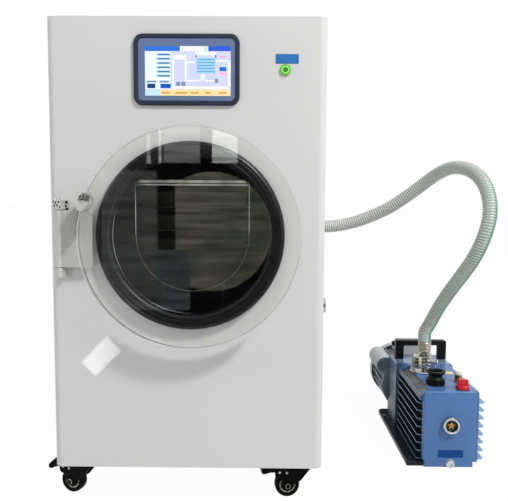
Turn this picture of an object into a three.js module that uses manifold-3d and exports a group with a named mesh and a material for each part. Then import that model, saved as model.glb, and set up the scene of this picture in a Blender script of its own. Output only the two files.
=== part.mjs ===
// Freeze dryer: a cabinet on casters with a round clear door, joined by a
// vacuum hose to a rotary-vane pump that stands on the floor beside it.
// Millimetres, +Z up, +X to the right, the front faces -Y.
import * as THREE from 'three';
import { mergeVertices } from 'three/addons/utils/BufferGeometryUtils.js';
import Module from 'manifold-3d';

const wasm = await Module();
wasm.setup();

// ---------- driving dimensions ----------

const GAP = 0.3; // clearance between neighbouring pieces

// cabinet
const CABINET_W = 600;
const CABINET_D = 700;
const CABINET_H = 987;
const BASE_Z = 88; // underside of the cabinet above the floor
const SHEET = 2; // panel thickness
const EDGE_R = 18; // vertical front edges
const EDGE_STEPS = 4;
const RETURN = 60; // the front panel wraps this far round the sides
const PAN_T = 3;
const PAN_WALL = 25;
const LID_FLANGE = 22;
const POST = 30; // corner posts, angle section
const POST_T = 3;
const POST_INSET = 10;
const RAIL_H = 20;

// chamber and door, on one axis through the front
const CHAMBER_X = 8.4;
const CHAMBER_Z = 610;
const CHAMBER_R = 177; // inside radius
const CHAMBER_WALL = 3;
const CHAMBER_DEPTH = 420;
const CHAMBER_DISH = 25;
const SLEEVE_H = 14; // cooling turns, from the drum's inside
const SLEEVE_TURNS = 3;
const JACKET_T = 23; // foam outside the cooling turns
const JACKET_LEN = 380;
const GASKET_W = 33.5; // bore to rim
const GASKET_LIP = 7.5; // reaches in over the mouth of the drum
const GASKET_PROUD = 20; // in front of the panel
const DOOR_LAP = 33.5; // clear disc beyond the gasket
const DOOR_DROP = 3.5; // its centre below the chamber's
const DOOR_T = 30;

// rack inside the chamber
const RACK_MARGIN = 50; // inside the drum
const RACK_HEADROOM = 60; // above its flat top
const RACK_SHEET = 2.5;
const RACK_FRONT = 38;
const RACK_LEN = 330;
const SHELF_T = 4;
const SHELF_DOWN = [60, 112, 164]; // shelves below the top of the rack
const SHELF_SETBACK = 14;
const TRAY_H = 34;
const TRAY_T = 1.5;
const TRAY_SIDE_GAP = 7;

// hinge on the left front edge
const HINGE_INSET = 23; // from the cabinet's side
const HINGE_Y = -15;
const HINGE_R = 9.5;
const HINGE_PIN_R = 5;
const HINGE_BELOW = 88.5; // its ends below and above the door's centre
const HINGE_ABOVE = 80.5;
const KNUCKLE_H = 22;
const ARM_T = 8;
const LEAF_LAP = 28.1; // hinge leaf behind the disc
const CLAMP_W = 31;
const CLAMP_INSET = 2.1; // from the disc's left edge
const CLAMP_RISE = 95.5; // its top above the door's centre
const CLAMP_LIP = 6;
const STRAP_T = 3.5;
const STRAP_RISE = 5.5;

// touch screen and power button
const SCREEN_DOWN = 112; // centre below the cabinet's top
const BEZEL_W = 226;
const BEZEL_H = 150;
const BEZEL_R = 20;
const BEZEL_PROUD = 6;
const BEZEL_RIM = 10;
const GLASS_T = 2;
const CUTOUT_W = 190;
const CUTOUT_H = 112;
const CONTROL_D = 70;
const BUTTON_X = 210;
const BUTTON_DOWN = 111;
const BUTTON_R = 8.5;
const BUTTON_RING_R = 11.8;
const BUTTON_THREAD_R = 10;
const BUTTON_TRAVEL = 3;

// compressor, condenser and its fan
const COMPRESSOR_R = 84;
const COMPRESSOR_H = 200;
const COMPRESSOR_AT = [-130, 470];
const CONDENSER_W = 250;
const CONDENSER_H = 230;
const CONDENSER_D = 44;
const CONDENSER_X = 90;
const FAN_Z = 235;
const FAN_R = 92;
const FAN_DEPTH = 34;
const FAN_SHAFT_R = 5;

// fittings on the right side
const PORT_Y = 560;
const PORT_Z = 603;
const PORT_R = 14;
const PORT_LEN = 35; // the hose starts this far outside the panel
const DRAIN_Y = 245;
const DRAIN_Z = 417;
const DRAIN_R = 8;
const DRAIN_KNOB_R = 20;
const DRAIN_KNOB_T = 10;
const INLET_SOCKET_X = -210;
const INLET_SOCKET_Z = 170;

// casters
const CASTER_SIDE = 49; // kingpin from the cabinet's side
const CASTER_END = 60; // and from its front or back
const CASTER_TRAIL = 27;
const CASTER_DROP = 7; // top of the fork below the pan
const WHEEL_ROOM = 24; // fork's height beyond the wheel's
const WHEEL_W = 24;
const AXLE_R = 5;
const CASTER_PLATE = 66;
const RACE_R = 24;
const KINGPIN_R = 5;
const FRONT_SWIVEL = [-20, 8]; // degrees the front casters have turned, left and right
const PEDAL_TILT = [0, 12]; // degrees their brake pedals are lifted
const FORK_T = 3;
const PEDAL_PIN_R = 3;

// vacuum pump
const PUMP_FRONT = 210;
const PLATE_X0 = 579;
const PLATE_X1 = 714;
const PLATE_T = 14;
const PUMP_TOP = 202;
const CASE_X0 = 585;
const CASE_X1 = 724;
const CASE_END = 486;
const FIN_COUNT = 8;
const FIN_T = 3;
const FIN_PITCH = 21.3;
const FIN_Z0 = 14.5;
const FIN_LEFT = 570;
const FIN_RIGHT = 745;
const FIN_SETBACK = 15; // behind the front plate
const FOOT_X0 = 542;
const FOOT_X1 = 712;
const FOOT_END = 640;
const FOOT_T = 12;
const BLOCK_X0 = 565;
const BLOCK_X1 = 733;
const BLOCK_END = 600;
const MOTOR_X = 633;
const MOTOR_LIFT = 5; // its ribs above the foot
const MOTOR_R = 78;
const MOTOR_RIB = 8;
const MOTOR_RIBS = 20;
const MOTOR_END = 775;
const MOTOR_SHAFT_R = 6;
const COWL_LAP = 4; // beyond the motor's ribs
const COWL_LEN = 38;
const CAPACITOR_ANGLE = 142.2; // round the motor
const CAPACITOR_OUT = 10.2; // its axis beyond the ribs
const CAPACITOR_R = 28;
const CAPACITOR_Y = [605, 771];
const TERMINAL_X = [607, 700];
const TERMINAL_Y = [640, 705];
const TERMINAL_RISE = 42; // above the motor's ribs
const HANDLE_X = 649;
const HANDLE_W = 152.5;
const HANDLE_H = 57.5;
const HANDLE_BAR = 15;
const HANDLE_POST = 24.5;
const HANDLE_D = 22;
const HANDLE_Y = 544; // middle of the bar
const INLET_X = 626;
const INLET_Y = 404;
const INLET_H = 86;
const EXHAUST_AT = [624, 275];
const BALLAST_AT = [684, 234];
const RELIEF_AT = [692, 300];
const SIGHT_X = 649; // sight glass and drain plug
const SIGHT_Z = 115;
const SIGHT_R = 23;
const DRAIN_PLUG_Z = 15;
const DRAIN_PLUG_R = 10;

// hose: outside diameter and the points of its route, port to pump
const HOSE_D = 36.5;
const HOSE_SIDES = 8;
const HOSE_STEPS = 34;
const HOSE_POINTS = [
  [335, 560, 603], [362, 560, 603], [397, 556, 607], [448, 543, 620], [497, 521, 641],
  [541, 496, 666], [580, 471, 696], [617, 446, 728], [650, 414, 758], [679, 370, 774],
  [705, 322, 768], [724, 276, 743], [733, 240, 702], [731, 218, 650], [717, 214, 596],
  [701, 231, 545], [688, 266, 503], [679, 308, 467], [668, 348, 428], [654, 380, 385],
  [638, 399, 340], [626, 404, 314], [626, 404, 288],
];

const HALF_W = CABINET_W / 2;
const TOP_Z = BASE_Z + CABINET_H;
const SLEEVE_R = CHAMBER_R + SLEEVE_H;
const JACKET_R = SLEEVE_R + JACKET_T;
const GASKET_BORE = CHAMBER_R - GASKET_LIP;
const GASKET_R = GASKET_BORE + GASKET_W;
const DOOR_R = GASKET_R + DOOR_LAP;
const DOOR_Z = CHAMBER_Z - DOOR_DROP;
const DOOR_BACK = -GASKET_PROUD; // rear face of the clear disc
const DOOR_FRONT = DOOR_BACK - DOOR_T;
const RACK_R = CHAMBER_R - RACK_MARGIN;
const RACK_TOP = CHAMBER_Z + CHAMBER_R - RACK_HEADROOM;
const HINGE_X = HINGE_INSET - HALF_W;
const HINGE_Z0 = DOOR_Z - HINGE_BELOW;
const HINGE_Z1 = DOOR_Z + HINGE_ABOVE;
const SCREEN_Z = TOP_Z - SCREEN_DOWN;
const BUTTON_Z = TOP_Z - BUTTON_DOWN;
const CASTER_X = HALF_W - CASTER_SIDE;
const FORK_TOP_Z = BASE_Z - CASTER_DROP;
const WHEEL_R = (FORK_TOP_Z - WHEEL_ROOM) / 2;
const RIBS_R = MOTOR_R + MOTOR_RIB;
const MOTOR_Z = FOOT_T + MOTOR_LIFT + RIBS_R;
const COWL_R = RIBS_R + COWL_LAP;

// ---------- materials ----------

function material(color, roughness, metalness) {
  return new THREE.MeshStandardMaterial({ color, roughness, metalness });
}

const whitePaint = material(0xd6d7d4, 0.5, 0.1);
const galvanised = material(0xaab0b4, 0.45, 0.8);
const stainless = material(0xb8babb, 0.28, 1);
const chrome = material(0xd8dadc, 0.12, 1);
const copper = material(0xb4714a, 0.35, 1);
const foam = material(0xd9c98f, 0.9, 0);
const blackRubber = material(0x17181b, 0.75, 0);
const blackPlastic = material(0x1d1e22, 0.5, 0);
const blackPaint = material(0x202226, 0.4, 0.3);
const acrylic = material(0xe8eeec, 0.05, 0);
const screenPlastic = material(0x20243a, 0.45, 0);
const screenGlass = material(0x6c7f9c, 0.15, 0);
const greenLight = material(0x35d36a, 0.3, 0);
const pumpBlue = material(0x5f93c8, 0.4, 0.2);
const footBlue = material(0x20343f, 0.45, 0.3);
const motorGrey = material(0xb9bfc2, 0.5, 0.2);
const redPlastic = material(0xc4122a, 0.4, 0);
const brass = material(0xb79a5c, 0.3, 1);
const clearPvc = material(0xcfd8d4, 0.25, 0);

// ---------- solids ----------

// A closed three.js geometry as a solid: vertices merged, slivers dropped and
// the faces turned outwards.
function solid(geometry) {
  const bare = geometry.clone();
  bare.deleteAttribute('normal');
  bare.deleteAttribute('uv');
  const merged = mergeVertices(bare, 1e-4);
  const at = merged.attributes.position.array;
  const index = merged.index.array;
  const faces = [];
  let volume = 0;
  for (let i = 0; i < index.length; i += 3) {
    const [a, b, c] = [index[i], index[i + 1], index[i + 2]];
    if (a === b || b === c || c === a) continue;
    faces.push(a, b, c);
    const [p, q, r] = [a, b, c].map((v) => new THREE.Vector3().fromArray(at, v * 3));
    volume += p.dot(q.cross(r));
  }
  if (volume < 0) faces.reverse();
  return new wasm.Manifold(new wasm.Mesh({
    numProp: 3,
    vertProperties: new Float32Array(at),
    triVerts: new Uint32Array(faces),
  }));
}

function union(...parts) {
  return parts.flat().reduce((sum, part) => sum.add(part));
}

function cut(body, ...tools) {
  return tools.flat().reduce((rest, tool) => rest.subtract(tool), body);
}

function box(x0, x1, y0, y1, z0, z1) {
  const geometry = new THREE.BoxGeometry(x1 - x0, y1 - y0, z1 - z0);
  geometry.translate((x0 + x1) / 2, (y0 + y1) / 2, (z0 + z1) / 2);
  return solid(geometry);
}

// Turns a geometry whose long axis is +Z so that it lies along X, Y or Z, then
// moves it. Along Y the axis points to the back, along X to the right.
function place(geometry, axis, at) {
  if (axis === 'x') geometry.rotateY(Math.PI / 2);
  if (axis === 'y') geometry.rotateX(-Math.PI / 2);
  geometry.translate(...at);
  return solid(geometry);
}

// Cylinder from its start point along an axis.
function rod(radius, length, axis, at, sides = 20) {
  const geometry = new THREE.CylinderGeometry(radius, radius, length, sides);
  geometry.rotateX(Math.PI / 2);
  geometry.translate(0, 0, length / 2);
  return place(geometry, axis, at);
}

// Turned solid from [radius, height] pairs, height measured along the axis.
function turned(profile, axis, at, sides = 24) {
  const points = profile.map(([r, h]) => new THREE.Vector2(r, h));
  const geometry = new THREE.LatheGeometry(points, sides);
  geometry.rotateX(Math.PI / 2);
  return place(geometry, axis, at);
}

// A turned ring closes on its own first point.
function ring(profile, axis, at, sides) {
  return turned([...profile, profile[0]], axis, at, sides);
}

function outline(points, holes = []) {
  const shape = new THREE.Shape(points.map(([x, y]) => new THREE.Vector2(x, y)));
  for (const hole of holes) {
    shape.holes.push(new THREE.Path(hole.map(([x, y]) => new THREE.Vector2(x, y))));
  }
  return shape;
}

// Points of an arc in degrees, both ends included.
function arc(cx, cy, radius, from, to, steps) {
  const points = [];
  for (let i = 0; i <= steps; i += 1) {
    const angle = THREE.MathUtils.degToRad(from + ((to - from) * i) / steps);
    points.push([cx + radius * Math.cos(angle), cy + radius * Math.sin(angle)]);
  }
  return points;
}

function roundedRect(x0, x1, y0, y1, radius, steps = 4) {
  return [
    ...arc(x0 + radius, y0 + radius, radius, 180, 270, steps),
    ...arc(x1 - radius, y0 + radius, radius, 270, 360, steps),
    ...arc(x1 - radius, y1 - radius, radius, 0, 90, steps),
    ...arc(x0 + radius, y1 - radius, radius, 90, 180, steps),
  ];
}

function extruded(shape, depth, curveSegments = 8) {
  return new THREE.ExtrudeGeometry(shape, { depth, bevelEnabled: false, curveSegments });
}

// An outline drawn in plan (X, Y), standing from z0 to z1.
function plan(shape, z0, z1) {
  const geometry = extruded(shape, z1 - z0);
  geometry.translate(0, 0, z0);
  return solid(geometry);
}

// An outline drawn in front view (X, Z), running from y0 back to y1.
function front(shape, y0, y1) {
  const geometry = extruded(shape, y1 - y0);
  geometry.rotateX(Math.PI / 2);
  geometry.translate(0, y1, 0);
  return solid(geometry);
}

const group = new THREE.Group();

function add(name, body, finish, parent = group) {
  const { vertProperties, triVerts } = body.getMesh();
  const geometry = new THREE.BufferGeometry();
  geometry.setAttribute('position', new THREE.BufferAttribute(vertProperties, 3));
  geometry.setIndex(new THREE.BufferAttribute(triVerts, 1));
  geometry.computeVertexNormals();
  const mesh = new THREE.Mesh(geometry, finish);
  mesh.name = name;
  parent.add(mesh);
  return mesh;
}

// ---------- cabinet ----------

// Corners that stand on casters; the front pair have brake pedals.
const CORNERS = [
  { name: 'front_left', x: -CASTER_X, y: CASTER_END, swivel: FRONT_SWIVEL[0], tilt: PEDAL_TILT[0] },
  { name: 'front_right', x: CASTER_X, y: CASTER_END, swivel: FRONT_SWIVEL[1], tilt: PEDAL_TILT[1] },
  { name: 'rear_left', x: -CASTER_X, y: CABINET_D - CASTER_END, swivel: 0 },
  { name: 'rear_right', x: CASTER_X, y: CABINET_D - CASTER_END, swivel: 0 },
];

// Plan of everything inside the panels: square at the back, its front corners
// following the rounded edges of the front panel.
function footprint(inset) {
  const x = HALF_W - inset;
  const y0 = inset;
  const y1 = CABINET_D - inset;
  const r = EDGE_R - inset;
  return [
    ...arc(-x + r, y0 + r, r, 180, 270, EDGE_STEPS), ...arc(x - r, y0 + r, r, 270, 360, EDGE_STEPS),
    [x, y1], [-x, y1],
  ];
}

function cornerPost(sideX, backward) {
  const x = sideX * (HALF_W - POST_INSET);
  const y = backward ? CABINET_D - POST_INSET : POST_INSET;
  const dy = backward ? -1 : 1;
  const points = [
    [x, y], [x - sideX * POST, y], [x - sideX * POST, y + dy * POST_T],
    [x - sideX * POST_T, y + dy * POST_T], [x - sideX * POST_T, y + dy * POST], [x, y + dy * POST],
  ];
  const turnsLeft = sideX * dy < 0;
  return plan(outline(turnsLeft ? points : points.reverse()), BASE_Z + PAN_T, TOP_Z - SHEET - 2 * GAP);
}

// Mounting plate and swivel race of a caster, welded under the pan.
function casterMount(x, y) {
  const top = BASE_Z + 1;
  const half = CASTER_PLATE / 2;
  return union(
    box(x - half, x + half, y - half, y + half, BASE_Z - 3, top),
    rod(RACE_R, BASE_Z - 2 - FORK_TOP_Z - GAP, 'z', [x, y, FORK_TOP_Z + GAP], 16),
  );
}

function chassis() {
  const edge = SHEET + GAP;
  const pan = plan(outline(footprint(edge)), BASE_Z, BASE_Z + PAN_WALL);
  const hollow = plan(outline(footprint(edge + PAN_T)), BASE_Z + PAN_T, BASE_Z + PAN_WALL + 1);
  const posts = [];
  for (const side of [-1, 1]) {
    for (const back of [false, true]) posts.push(cornerPost(side, back));
  }
  const railTop = CHAMBER_Z - JACKET_R - GAP;
  const railX = HALF_W - POST_INSET;
  const rails = [-1, 1].map((side) => {
    const xs = [side * railX, side * (railX - RAIL_H)].sort((a, b) => a - b);
    return box(...xs, POST_INSET, CABINET_D - POST_INSET, railTop - RAIL_H, railTop);
  });
  const crossbars = [90, 330].map((y) => box(-railX, railX, y, y + RAIL_H, railTop - RAIL_H, railTop));
  const mounts = CORNERS.map(({ x, y }) => casterMount(x, y));
  const pinHoles = CORNERS.map(({ x, y }) => rod(KINGPIN_R + GAP, BASE_Z, 'z', [x, y, FORK_TOP_Z], 12));
  return cut(union(cut(pan, hollow), posts, rails, crossbars, mounts), pinHoles);
}

function frontPanel() {
  const r = EDGE_R;
  const outer = [
    [-HALF_W, RETURN], ...arc(-HALF_W + r, r, r, 180, 270, EDGE_STEPS),
    ...arc(HALF_W - r, r, r, 270, 360, EDGE_STEPS), [HALF_W, RETURN],
  ];
  const x = HALF_W - SHEET;
  const ri = r - SHEET;
  const inner = [
    [x, RETURN], ...arc(HALF_W - r, r, ri, 360, 270, EDGE_STEPS),
    ...arc(-HALF_W + r, r, ri, 270, 180, EDGE_STEPS), [-x, RETURN],
  ];
  const sheet = plan(outline([...outer, ...inner]), BASE_Z, TOP_Z);
  const through = SHEET + 2;
  const round = rod(GASKET_R + GAP, through, 'y', [CHAMBER_X, -1, CHAMBER_Z], 48);
  const screen = box(-CUTOUT_W / 2, CUTOUT_W / 2, -1, through, SCREEN_Z - CUTOUT_H / 2, SCREEN_Z + CUTOUT_H / 2);
  const button = rod(BUTTON_THREAD_R + GAP, through, 'y', [BUTTON_X, -1, BUTTON_Z]);
  return cut(sheet, round, screen, button);
}

function sidePanel(side) {
  const xs = [side * HALF_W, side * (HALF_W - SHEET)].sort((a, b) => a - b);
  const sheet = box(...xs, RETURN + GAP, CABINET_D - SHEET - GAP, BASE_Z, TOP_Z);
  const slots = [];
  for (let i = 0; i < 6; i += 1) {
    const z = 150 + i * 26;
    slots.push(box(side * HALF_W - 5, side * HALF_W + 5, 470, 630, z, z + 8));
  }
  if (side < 0) return cut(sheet, slots);
  const at = HALF_W - SHEET - 1;
  const portHole = rod(PORT_R + 4 + 3 * GAP, SHEET + 2, 'x', [at, PORT_Y, PORT_Z]);
  const drainHole = rod(DRAIN_R + GAP, SHEET + 2, 'x', [at, DRAIN_Y, DRAIN_Z]);
  return cut(sheet, slots, portHole, drainHole);
}

function topPanel() {
  const edge = SHEET + GAP;
  const slab = plan(outline(footprint(edge)), TOP_Z - LID_FLANGE, TOP_Z);
  const hollow = plan(outline(footprint(edge + SHEET)), TOP_Z - LID_FLANGE - 1, TOP_Z - SHEET);
  return cut(slab, hollow);
}

function rearPanel() {
  const sheet = box(-HALF_W, HALF_W, CABINET_D - SHEET, CABINET_D, BASE_Z, TOP_Z);
  const slots = [];
  const rows = 9;
  for (let i = 0; i < rows; i += 1) {
    const z = FAN_Z + (i - (rows - 1) / 2) * 18;
    const half = Math.sqrt(FAN_R ** 2 - (z - FAN_Z) ** 2);
    slots.push(box(CONDENSER_X - half, CONDENSER_X + half, CABINET_D - 5, CABINET_D + 5, z - 4, z + 4));
  }
  for (let i = 0; i < 6; i += 1) {
    const z = 860 + i * 24;
    slots.push(box(-120, 120, CABINET_D - 5, CABINET_D + 5, z - 3, z + 3));
  }
  const socket = box(INLET_SOCKET_X - 24 - GAP, INLET_SOCKET_X + 24 + GAP, CABINET_D - 5, CABINET_D + 5,
    INLET_SOCKET_Z - 14 - GAP, INLET_SOCKET_Z + 14 + GAP);
  return cut(sheet, slots, socket);
}

add('chassis', chassis(), galvanised);
add('front_panel', frontPanel(), whitePaint);
add('side_panel_left', sidePanel(-1), whitePaint);
add('side_panel_right', sidePanel(1), whitePaint);
add('top_panel', topPanel(), whitePaint);
add('rear_panel', rearPanel(), whitePaint);

// ---------- chamber ----------

const CHAMBER_AT = [CHAMBER_X, 0, CHAMBER_Z];
const DRUM_SIDES = 32;

function vacuumChamber() {
  const r = CHAMBER_R;
  const w = CHAMBER_WALL;
  const start = SHEET + GAP;
  const end = start + CHAMBER_DEPTH;
  return turned([
    [0, end + CHAMBER_DISH - w], [r * 0.55, end + CHAMBER_DISH * 0.6 - w], [r, end - w - 6], [r, start],
    [GASKET_R - 8, start], [GASKET_R - 8, start + 5], [r + w, start + 5], [r + w, end - w - 4],
    [r * 0.57, end + CHAMBER_DISH * 0.6], [0, end + CHAMBER_DISH],
  ], 'y', CHAMBER_AT, DRUM_SIDES);
}

// Cold plate rolled round the drum, its refrigerant channel raised in turns.
function evaporatorSleeve() {
  const inner = CHAMBER_R + CHAMBER_WALL + GAP;
  const skin = inner + 2;
  const y0 = 40;
  const pitch = 104;
  const outer = [[skin, y0 + SLEEVE_TURNS * pitch]];
  for (let i = SLEEVE_TURNS - 1; i >= 0; i -= 1) {
    const y = y0 + (i + 0.5) * pitch;
    outer.push([skin, y + 10], [SLEEVE_R, y + 5], [SLEEVE_R, y - 5], [skin, y - 10]);
  }
  outer.push([skin, y0]);
  return ring([[inner, y0], [inner, y0 + SLEEVE_TURNS * pitch], ...outer], 'y', CHAMBER_AT, DRUM_SIDES);
}

function foamJacket() {
  const y0 = 14;
  const inner = SLEEVE_R + 2 * GAP;
  return ring([[inner, y0], [inner, y0 + JACKET_LEN], [JACKET_R, y0 + JACKET_LEN], [JACKET_R, y0]],
    'y', CHAMBER_AT, DRUM_SIDES);
}

// Thick ring of L section: a lip seals on the door, a skirt grips the flange.
function doorGasket() {
  const face = -GASKET_PROUD + GAP;
  return ring([
    [GASKET_BORE, face + 9], [GASKET_BORE + 3, face + 3], [GASKET_BORE + 10, face], [GASKET_R - 10, face],
    [GASKET_R - 2, face + 5], [GASKET_R, face + 14], [GASKET_R, SHEET], [GASKET_BORE, SHEET],
  ], 'y', CHAMBER_AT, 48);
}

// Flat top, straight sides and a half-round bottom, shrunk by an inset.
function rackOutline(inset) {
  const r = RACK_R - inset;
  const top = RACK_TOP - inset;
  return [
    [CHAMBER_X - r, top], ...arc(CHAMBER_X, CHAMBER_Z, r, 180, 360, 18), [CHAMBER_X + r, top],
  ];
}

function rackShroud() {
  const end = RACK_FRONT + RACK_LEN;
  const skin = cut(front(outline(rackOutline(0)), RACK_FRONT, end),
    front(outline(rackOutline(RACK_SHEET)), RACK_FRONT - 1, end + 1));
  const drum = rod(CHAMBER_R - GAP, RACK_LEN, 'y', [CHAMBER_X, RACK_FRONT, CHAMBER_Z], DRUM_SIDES);
  const inside = front(outline(rackOutline(1)), RACK_FRONT - 1, end + 1);
  const runners = [-70, 64].map((x) => box(CHAMBER_X + x, CHAMBER_X + x + 6, RACK_FRONT + 20, end - 20,
    CHAMBER_Z - CHAMBER_R - 5, CHAMBER_Z - RACK_R * 0.7));
  return union(skin, runners.map((runner) => cut(runner.intersect(drum), inside)));
}

function shelf(level) {
  const y0 = RACK_FRONT + SHELF_SETBACK;
  const y1 = RACK_FRONT + RACK_LEN - SHELF_SETBACK;
  const slab = box(-HALF_W, HALF_W, y0, y1, level, level + SHELF_T);
  return slab.intersect(front(outline(rackOutline(RACK_SHEET + GAP)), y0 - 1, y1 + 1));
}

function tray(level) {
  const y0 = RACK_FRONT + SHELF_SETBACK + 2;
  const y1 = RACK_FRONT + RACK_LEN - SHELF_SETBACK - 12;
  const floor = level + SHELF_T + GAP;
  const side = RACK_SHEET + TRAY_SIDE_GAP;
  const block = box(-HALF_W, HALF_W, y0, y1, floor, floor + TRAY_H);
  const body = block.intersect(front(outline(rackOutline(side)), y0 - 1, y1 + 1));
  const pocket = box(-HALF_W, HALF_W, y0 + TRAY_T, y1 - TRAY_T, floor + TRAY_T, floor + TRAY_H + 5);
  return cut(body, pocket.intersect(front(outline(rackOutline(side + TRAY_T)), y0 - 1, y1 + 1)));
}

add('vacuum_chamber', vacuumChamber(), stainless);
add('evaporator_sleeve', evaporatorSleeve(), copper);
add('foam_jacket', foamJacket(), foam);
add('door_gasket', doorGasket(), blackRubber);
add('rack_shroud', rackShroud(), stainless);
SHELF_DOWN.forEach((down, i) => {
  add(`shelf_${i + 1}`, shelf(RACK_TOP - down), stainless);
  add(`tray_${i + 1}`, tray(RACK_TOP - down), stainless);
});

// ---------- door and hinge ----------

const ARM_Z0 = HINGE_Z0 + KNUCKLE_H + 1;
const ARM_Z1 = HINGE_Z1 - KNUCKLE_H - 1;
const DOOR_AT = [CHAMBER_X, DOOR_FRONT, DOOR_Z];
const DOOR_LEFT = CHAMBER_X - DOOR_R;
const CLAMP_X0 = DOOR_LEFT + CLAMP_INSET;
const CLAMP_X1 = CLAMP_X0 + CLAMP_W;
const CLAMP_TOP = DOOR_Z + CLAMP_RISE;

function hingeBracket() {
  const plate = box(HINGE_X - 9, HINGE_X + 22, -5, -GAP, HINGE_Z0, HINGE_Z1);
  const pinHole = rod(HINGE_PIN_R, HINGE_Z1 - HINGE_Z0 + 2, 'z', [HINGE_X, HINGE_Y, HINGE_Z0 - 1]);
  const knuckles = [HINGE_Z0, HINGE_Z1 - KNUCKLE_H].map((z) => union(
    rod(HINGE_R, KNUCKLE_H, 'z', [HINGE_X, HINGE_Y, z]),
    box(HINGE_X - 8, HINGE_X + 14, HINGE_Y, -4, z, z + KNUCKLE_H),
  ));
  return cut(union(plate, knuckles), pinHole);
}

function hingePin() {
  const r = HINGE_PIN_R - GAP;
  const low = HINGE_Z0 - 2;
  const high = HINGE_Z1 + GAP;
  return turned([[0, low], [r, low], [r, high], [r + 3, high], [r + 2, high + 3], [0, high + 3]],
    'z', [HINGE_X, HINGE_Y, 0], 20);
}

// Barrel round the pin and a flat leaf that reaches behind the clear disc.
function doorArm() {
  const barrel = rod(HINGE_R, ARM_Z1 - ARM_Z0, 'z', [HINGE_X, HINGE_Y, ARM_Z0]);
  const leafFront = DOOR_BACK + GAP;
  const leaf = box(HINGE_X, DOOR_LEFT + LEAF_LAP, leafFront, leafFront + ARM_T, ARM_Z0, ARM_Z1);
  const bore = rod(HINGE_PIN_R, ARM_Z1 - ARM_Z0 + 2, 'z', [HINGE_X, HINGE_Y, ARM_Z0 - 1]);
  return cut(union(barrel, leaf), bore);
}

// Block that grips the rim of the disc above the leaf, with a thin strap that
// follows the rim down in front of it.
function doorClamp() {
  const back = DOOR_BACK + GAP + ARM_T;
  const foot = ARM_Z1 + GAP;
  const body = front(outline([
    [CLAMP_X0, foot], [CLAMP_X0 + 12, foot], [CLAMP_X1, foot + 14], [CLAMP_X1, CLAMP_TOP - 8],
    [CLAMP_X1 - 6, CLAMP_TOP], [CLAMP_X0 + 14, CLAMP_TOP], [CLAMP_X0 + 6, CLAMP_TOP - 7], [CLAMP_X0, foot + 12],
  ]), DOOR_FRONT - CLAMP_LIP, back);
  const slot = rod(DOOR_R + GAP, DOOR_T + 2 * GAP, 'y', [CHAMBER_X, DOOR_FRONT - GAP, DOOR_Z], 64);
  const rim = ring([
    [DOOR_R + GAP, 0], [DOOR_R + STRAP_T, 0], [DOOR_R + STRAP_T, DOOR_T], [DOOR_R + GAP, DOOR_T],
  ], 'y', DOOR_AT, 64);
  const reach = box(CLAMP_X0 - 20, CLAMP_X1, DOOR_FRONT, DOOR_BACK, DOOR_Z + STRAP_RISE, foot + 6);
  return union(cut(body, slot), rim.intersect(reach));
}

function doorDisc() {
  const c = 1.5;
  return turned([[0, 0], [DOOR_R - c, 0], [DOOR_R, c], [DOOR_R, DOOR_T - c], [DOOR_R - c, DOOR_T], [0, DOOR_T]],
    'y', DOOR_AT, 64);
}

add('hinge_bracket', hingeBracket(), stainless);
add('hinge_pin', hingePin(), stainless);
add('door_arm', doorArm(), stainless);
add('door_clamp', doorClamp(), blackPlastic);
add('door_disc', doorDisc(), acrylic);

// ---------- screen, controls and power button ----------

function screenBezel() {
  const x = BEZEL_W / 2;
  const z0 = SCREEN_Z - BEZEL_H / 2;
  const z1 = SCREEN_Z + BEZEL_H / 2;
  const rim = BEZEL_RIM;
  const plate = front(outline(roundedRect(-x, x, z0, z1, BEZEL_R)), -BEZEL_PROUD, -GAP);
  const recess = front(outline(roundedRect(-x + rim, x - rim, z0 + rim, z1 - rim, BEZEL_R - rim)),
    -BEZEL_PROUD - 1, -BEZEL_PROUD + GLASS_T + 1.5);
  const neck = box(-CUTOUT_W / 2 + GAP, CUTOUT_W / 2 - GAP, -1, SHEET,
    SCREEN_Z - CUTOUT_H / 2 + GAP, SCREEN_Z + CUTOUT_H / 2 - GAP);
  return cut(union(plate, neck), recess);
}

function screenGlassPlate() {
  const inset = BEZEL_RIM + GAP;
  const x = BEZEL_W / 2 - inset;
  const z = BEZEL_H / 2 - inset;
  const back = -BEZEL_PROUD + GLASS_T + 1.5 - GAP;
  return front(outline(roundedRect(-x, x, SCREEN_Z - z, SCREEN_Z + z, BEZEL_R - inset)), back - GLASS_T, back);
}

function controlBox() {
  return box(-CUTOUT_W / 2 - 40, CUTOUT_W / 2 + 40, SHEET + GAP, SHEET + GAP + CONTROL_D, SCREEN_Z - 78, TOP_Z - 30);
}

// Threaded bush through the panel; its bore guides the button.
function buttonBezel() {
  const bore = BUTTON_R + GAP;
  const t = BUTTON_THREAD_R;
  const rim = BUTTON_RING_R;
  return turned([
    [bore, -4], [rim - 1.5, -4], [rim, -2.5], [rim, -GAP], [t, -GAP], [t, 28], [0, 28], [0, 25], [bore, 25], [bore, -4],
  ], 'y', [BUTTON_X, 0, BUTTON_Z], 20);
}

function powerButton() {
  const proud = -4.5;
  return turned([
    [0, proud + 0.6], [BUTTON_R - 3.5, proud + 0.6], [BUTTON_R - 3, proud], [BUTTON_R - 0.6, proud],
    [BUTTON_R, proud + 0.6], [BUTTON_R, 25 - BUTTON_TRAVEL - GAP], [0, 25 - BUTTON_TRAVEL - GAP],
  ], 'y', [BUTTON_X, 0, BUTTON_Z], 20);
}

add('screen_bezel', screenBezel(), screenPlastic);
add('screen_glass', screenGlassPlate(), screenGlass);
add('control_box', controlBox(), galvanised);
add('button_bezel', buttonBezel(), chrome);
add('power_button', powerButton(), greenLight);

// ---------- refrigeration ----------

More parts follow.
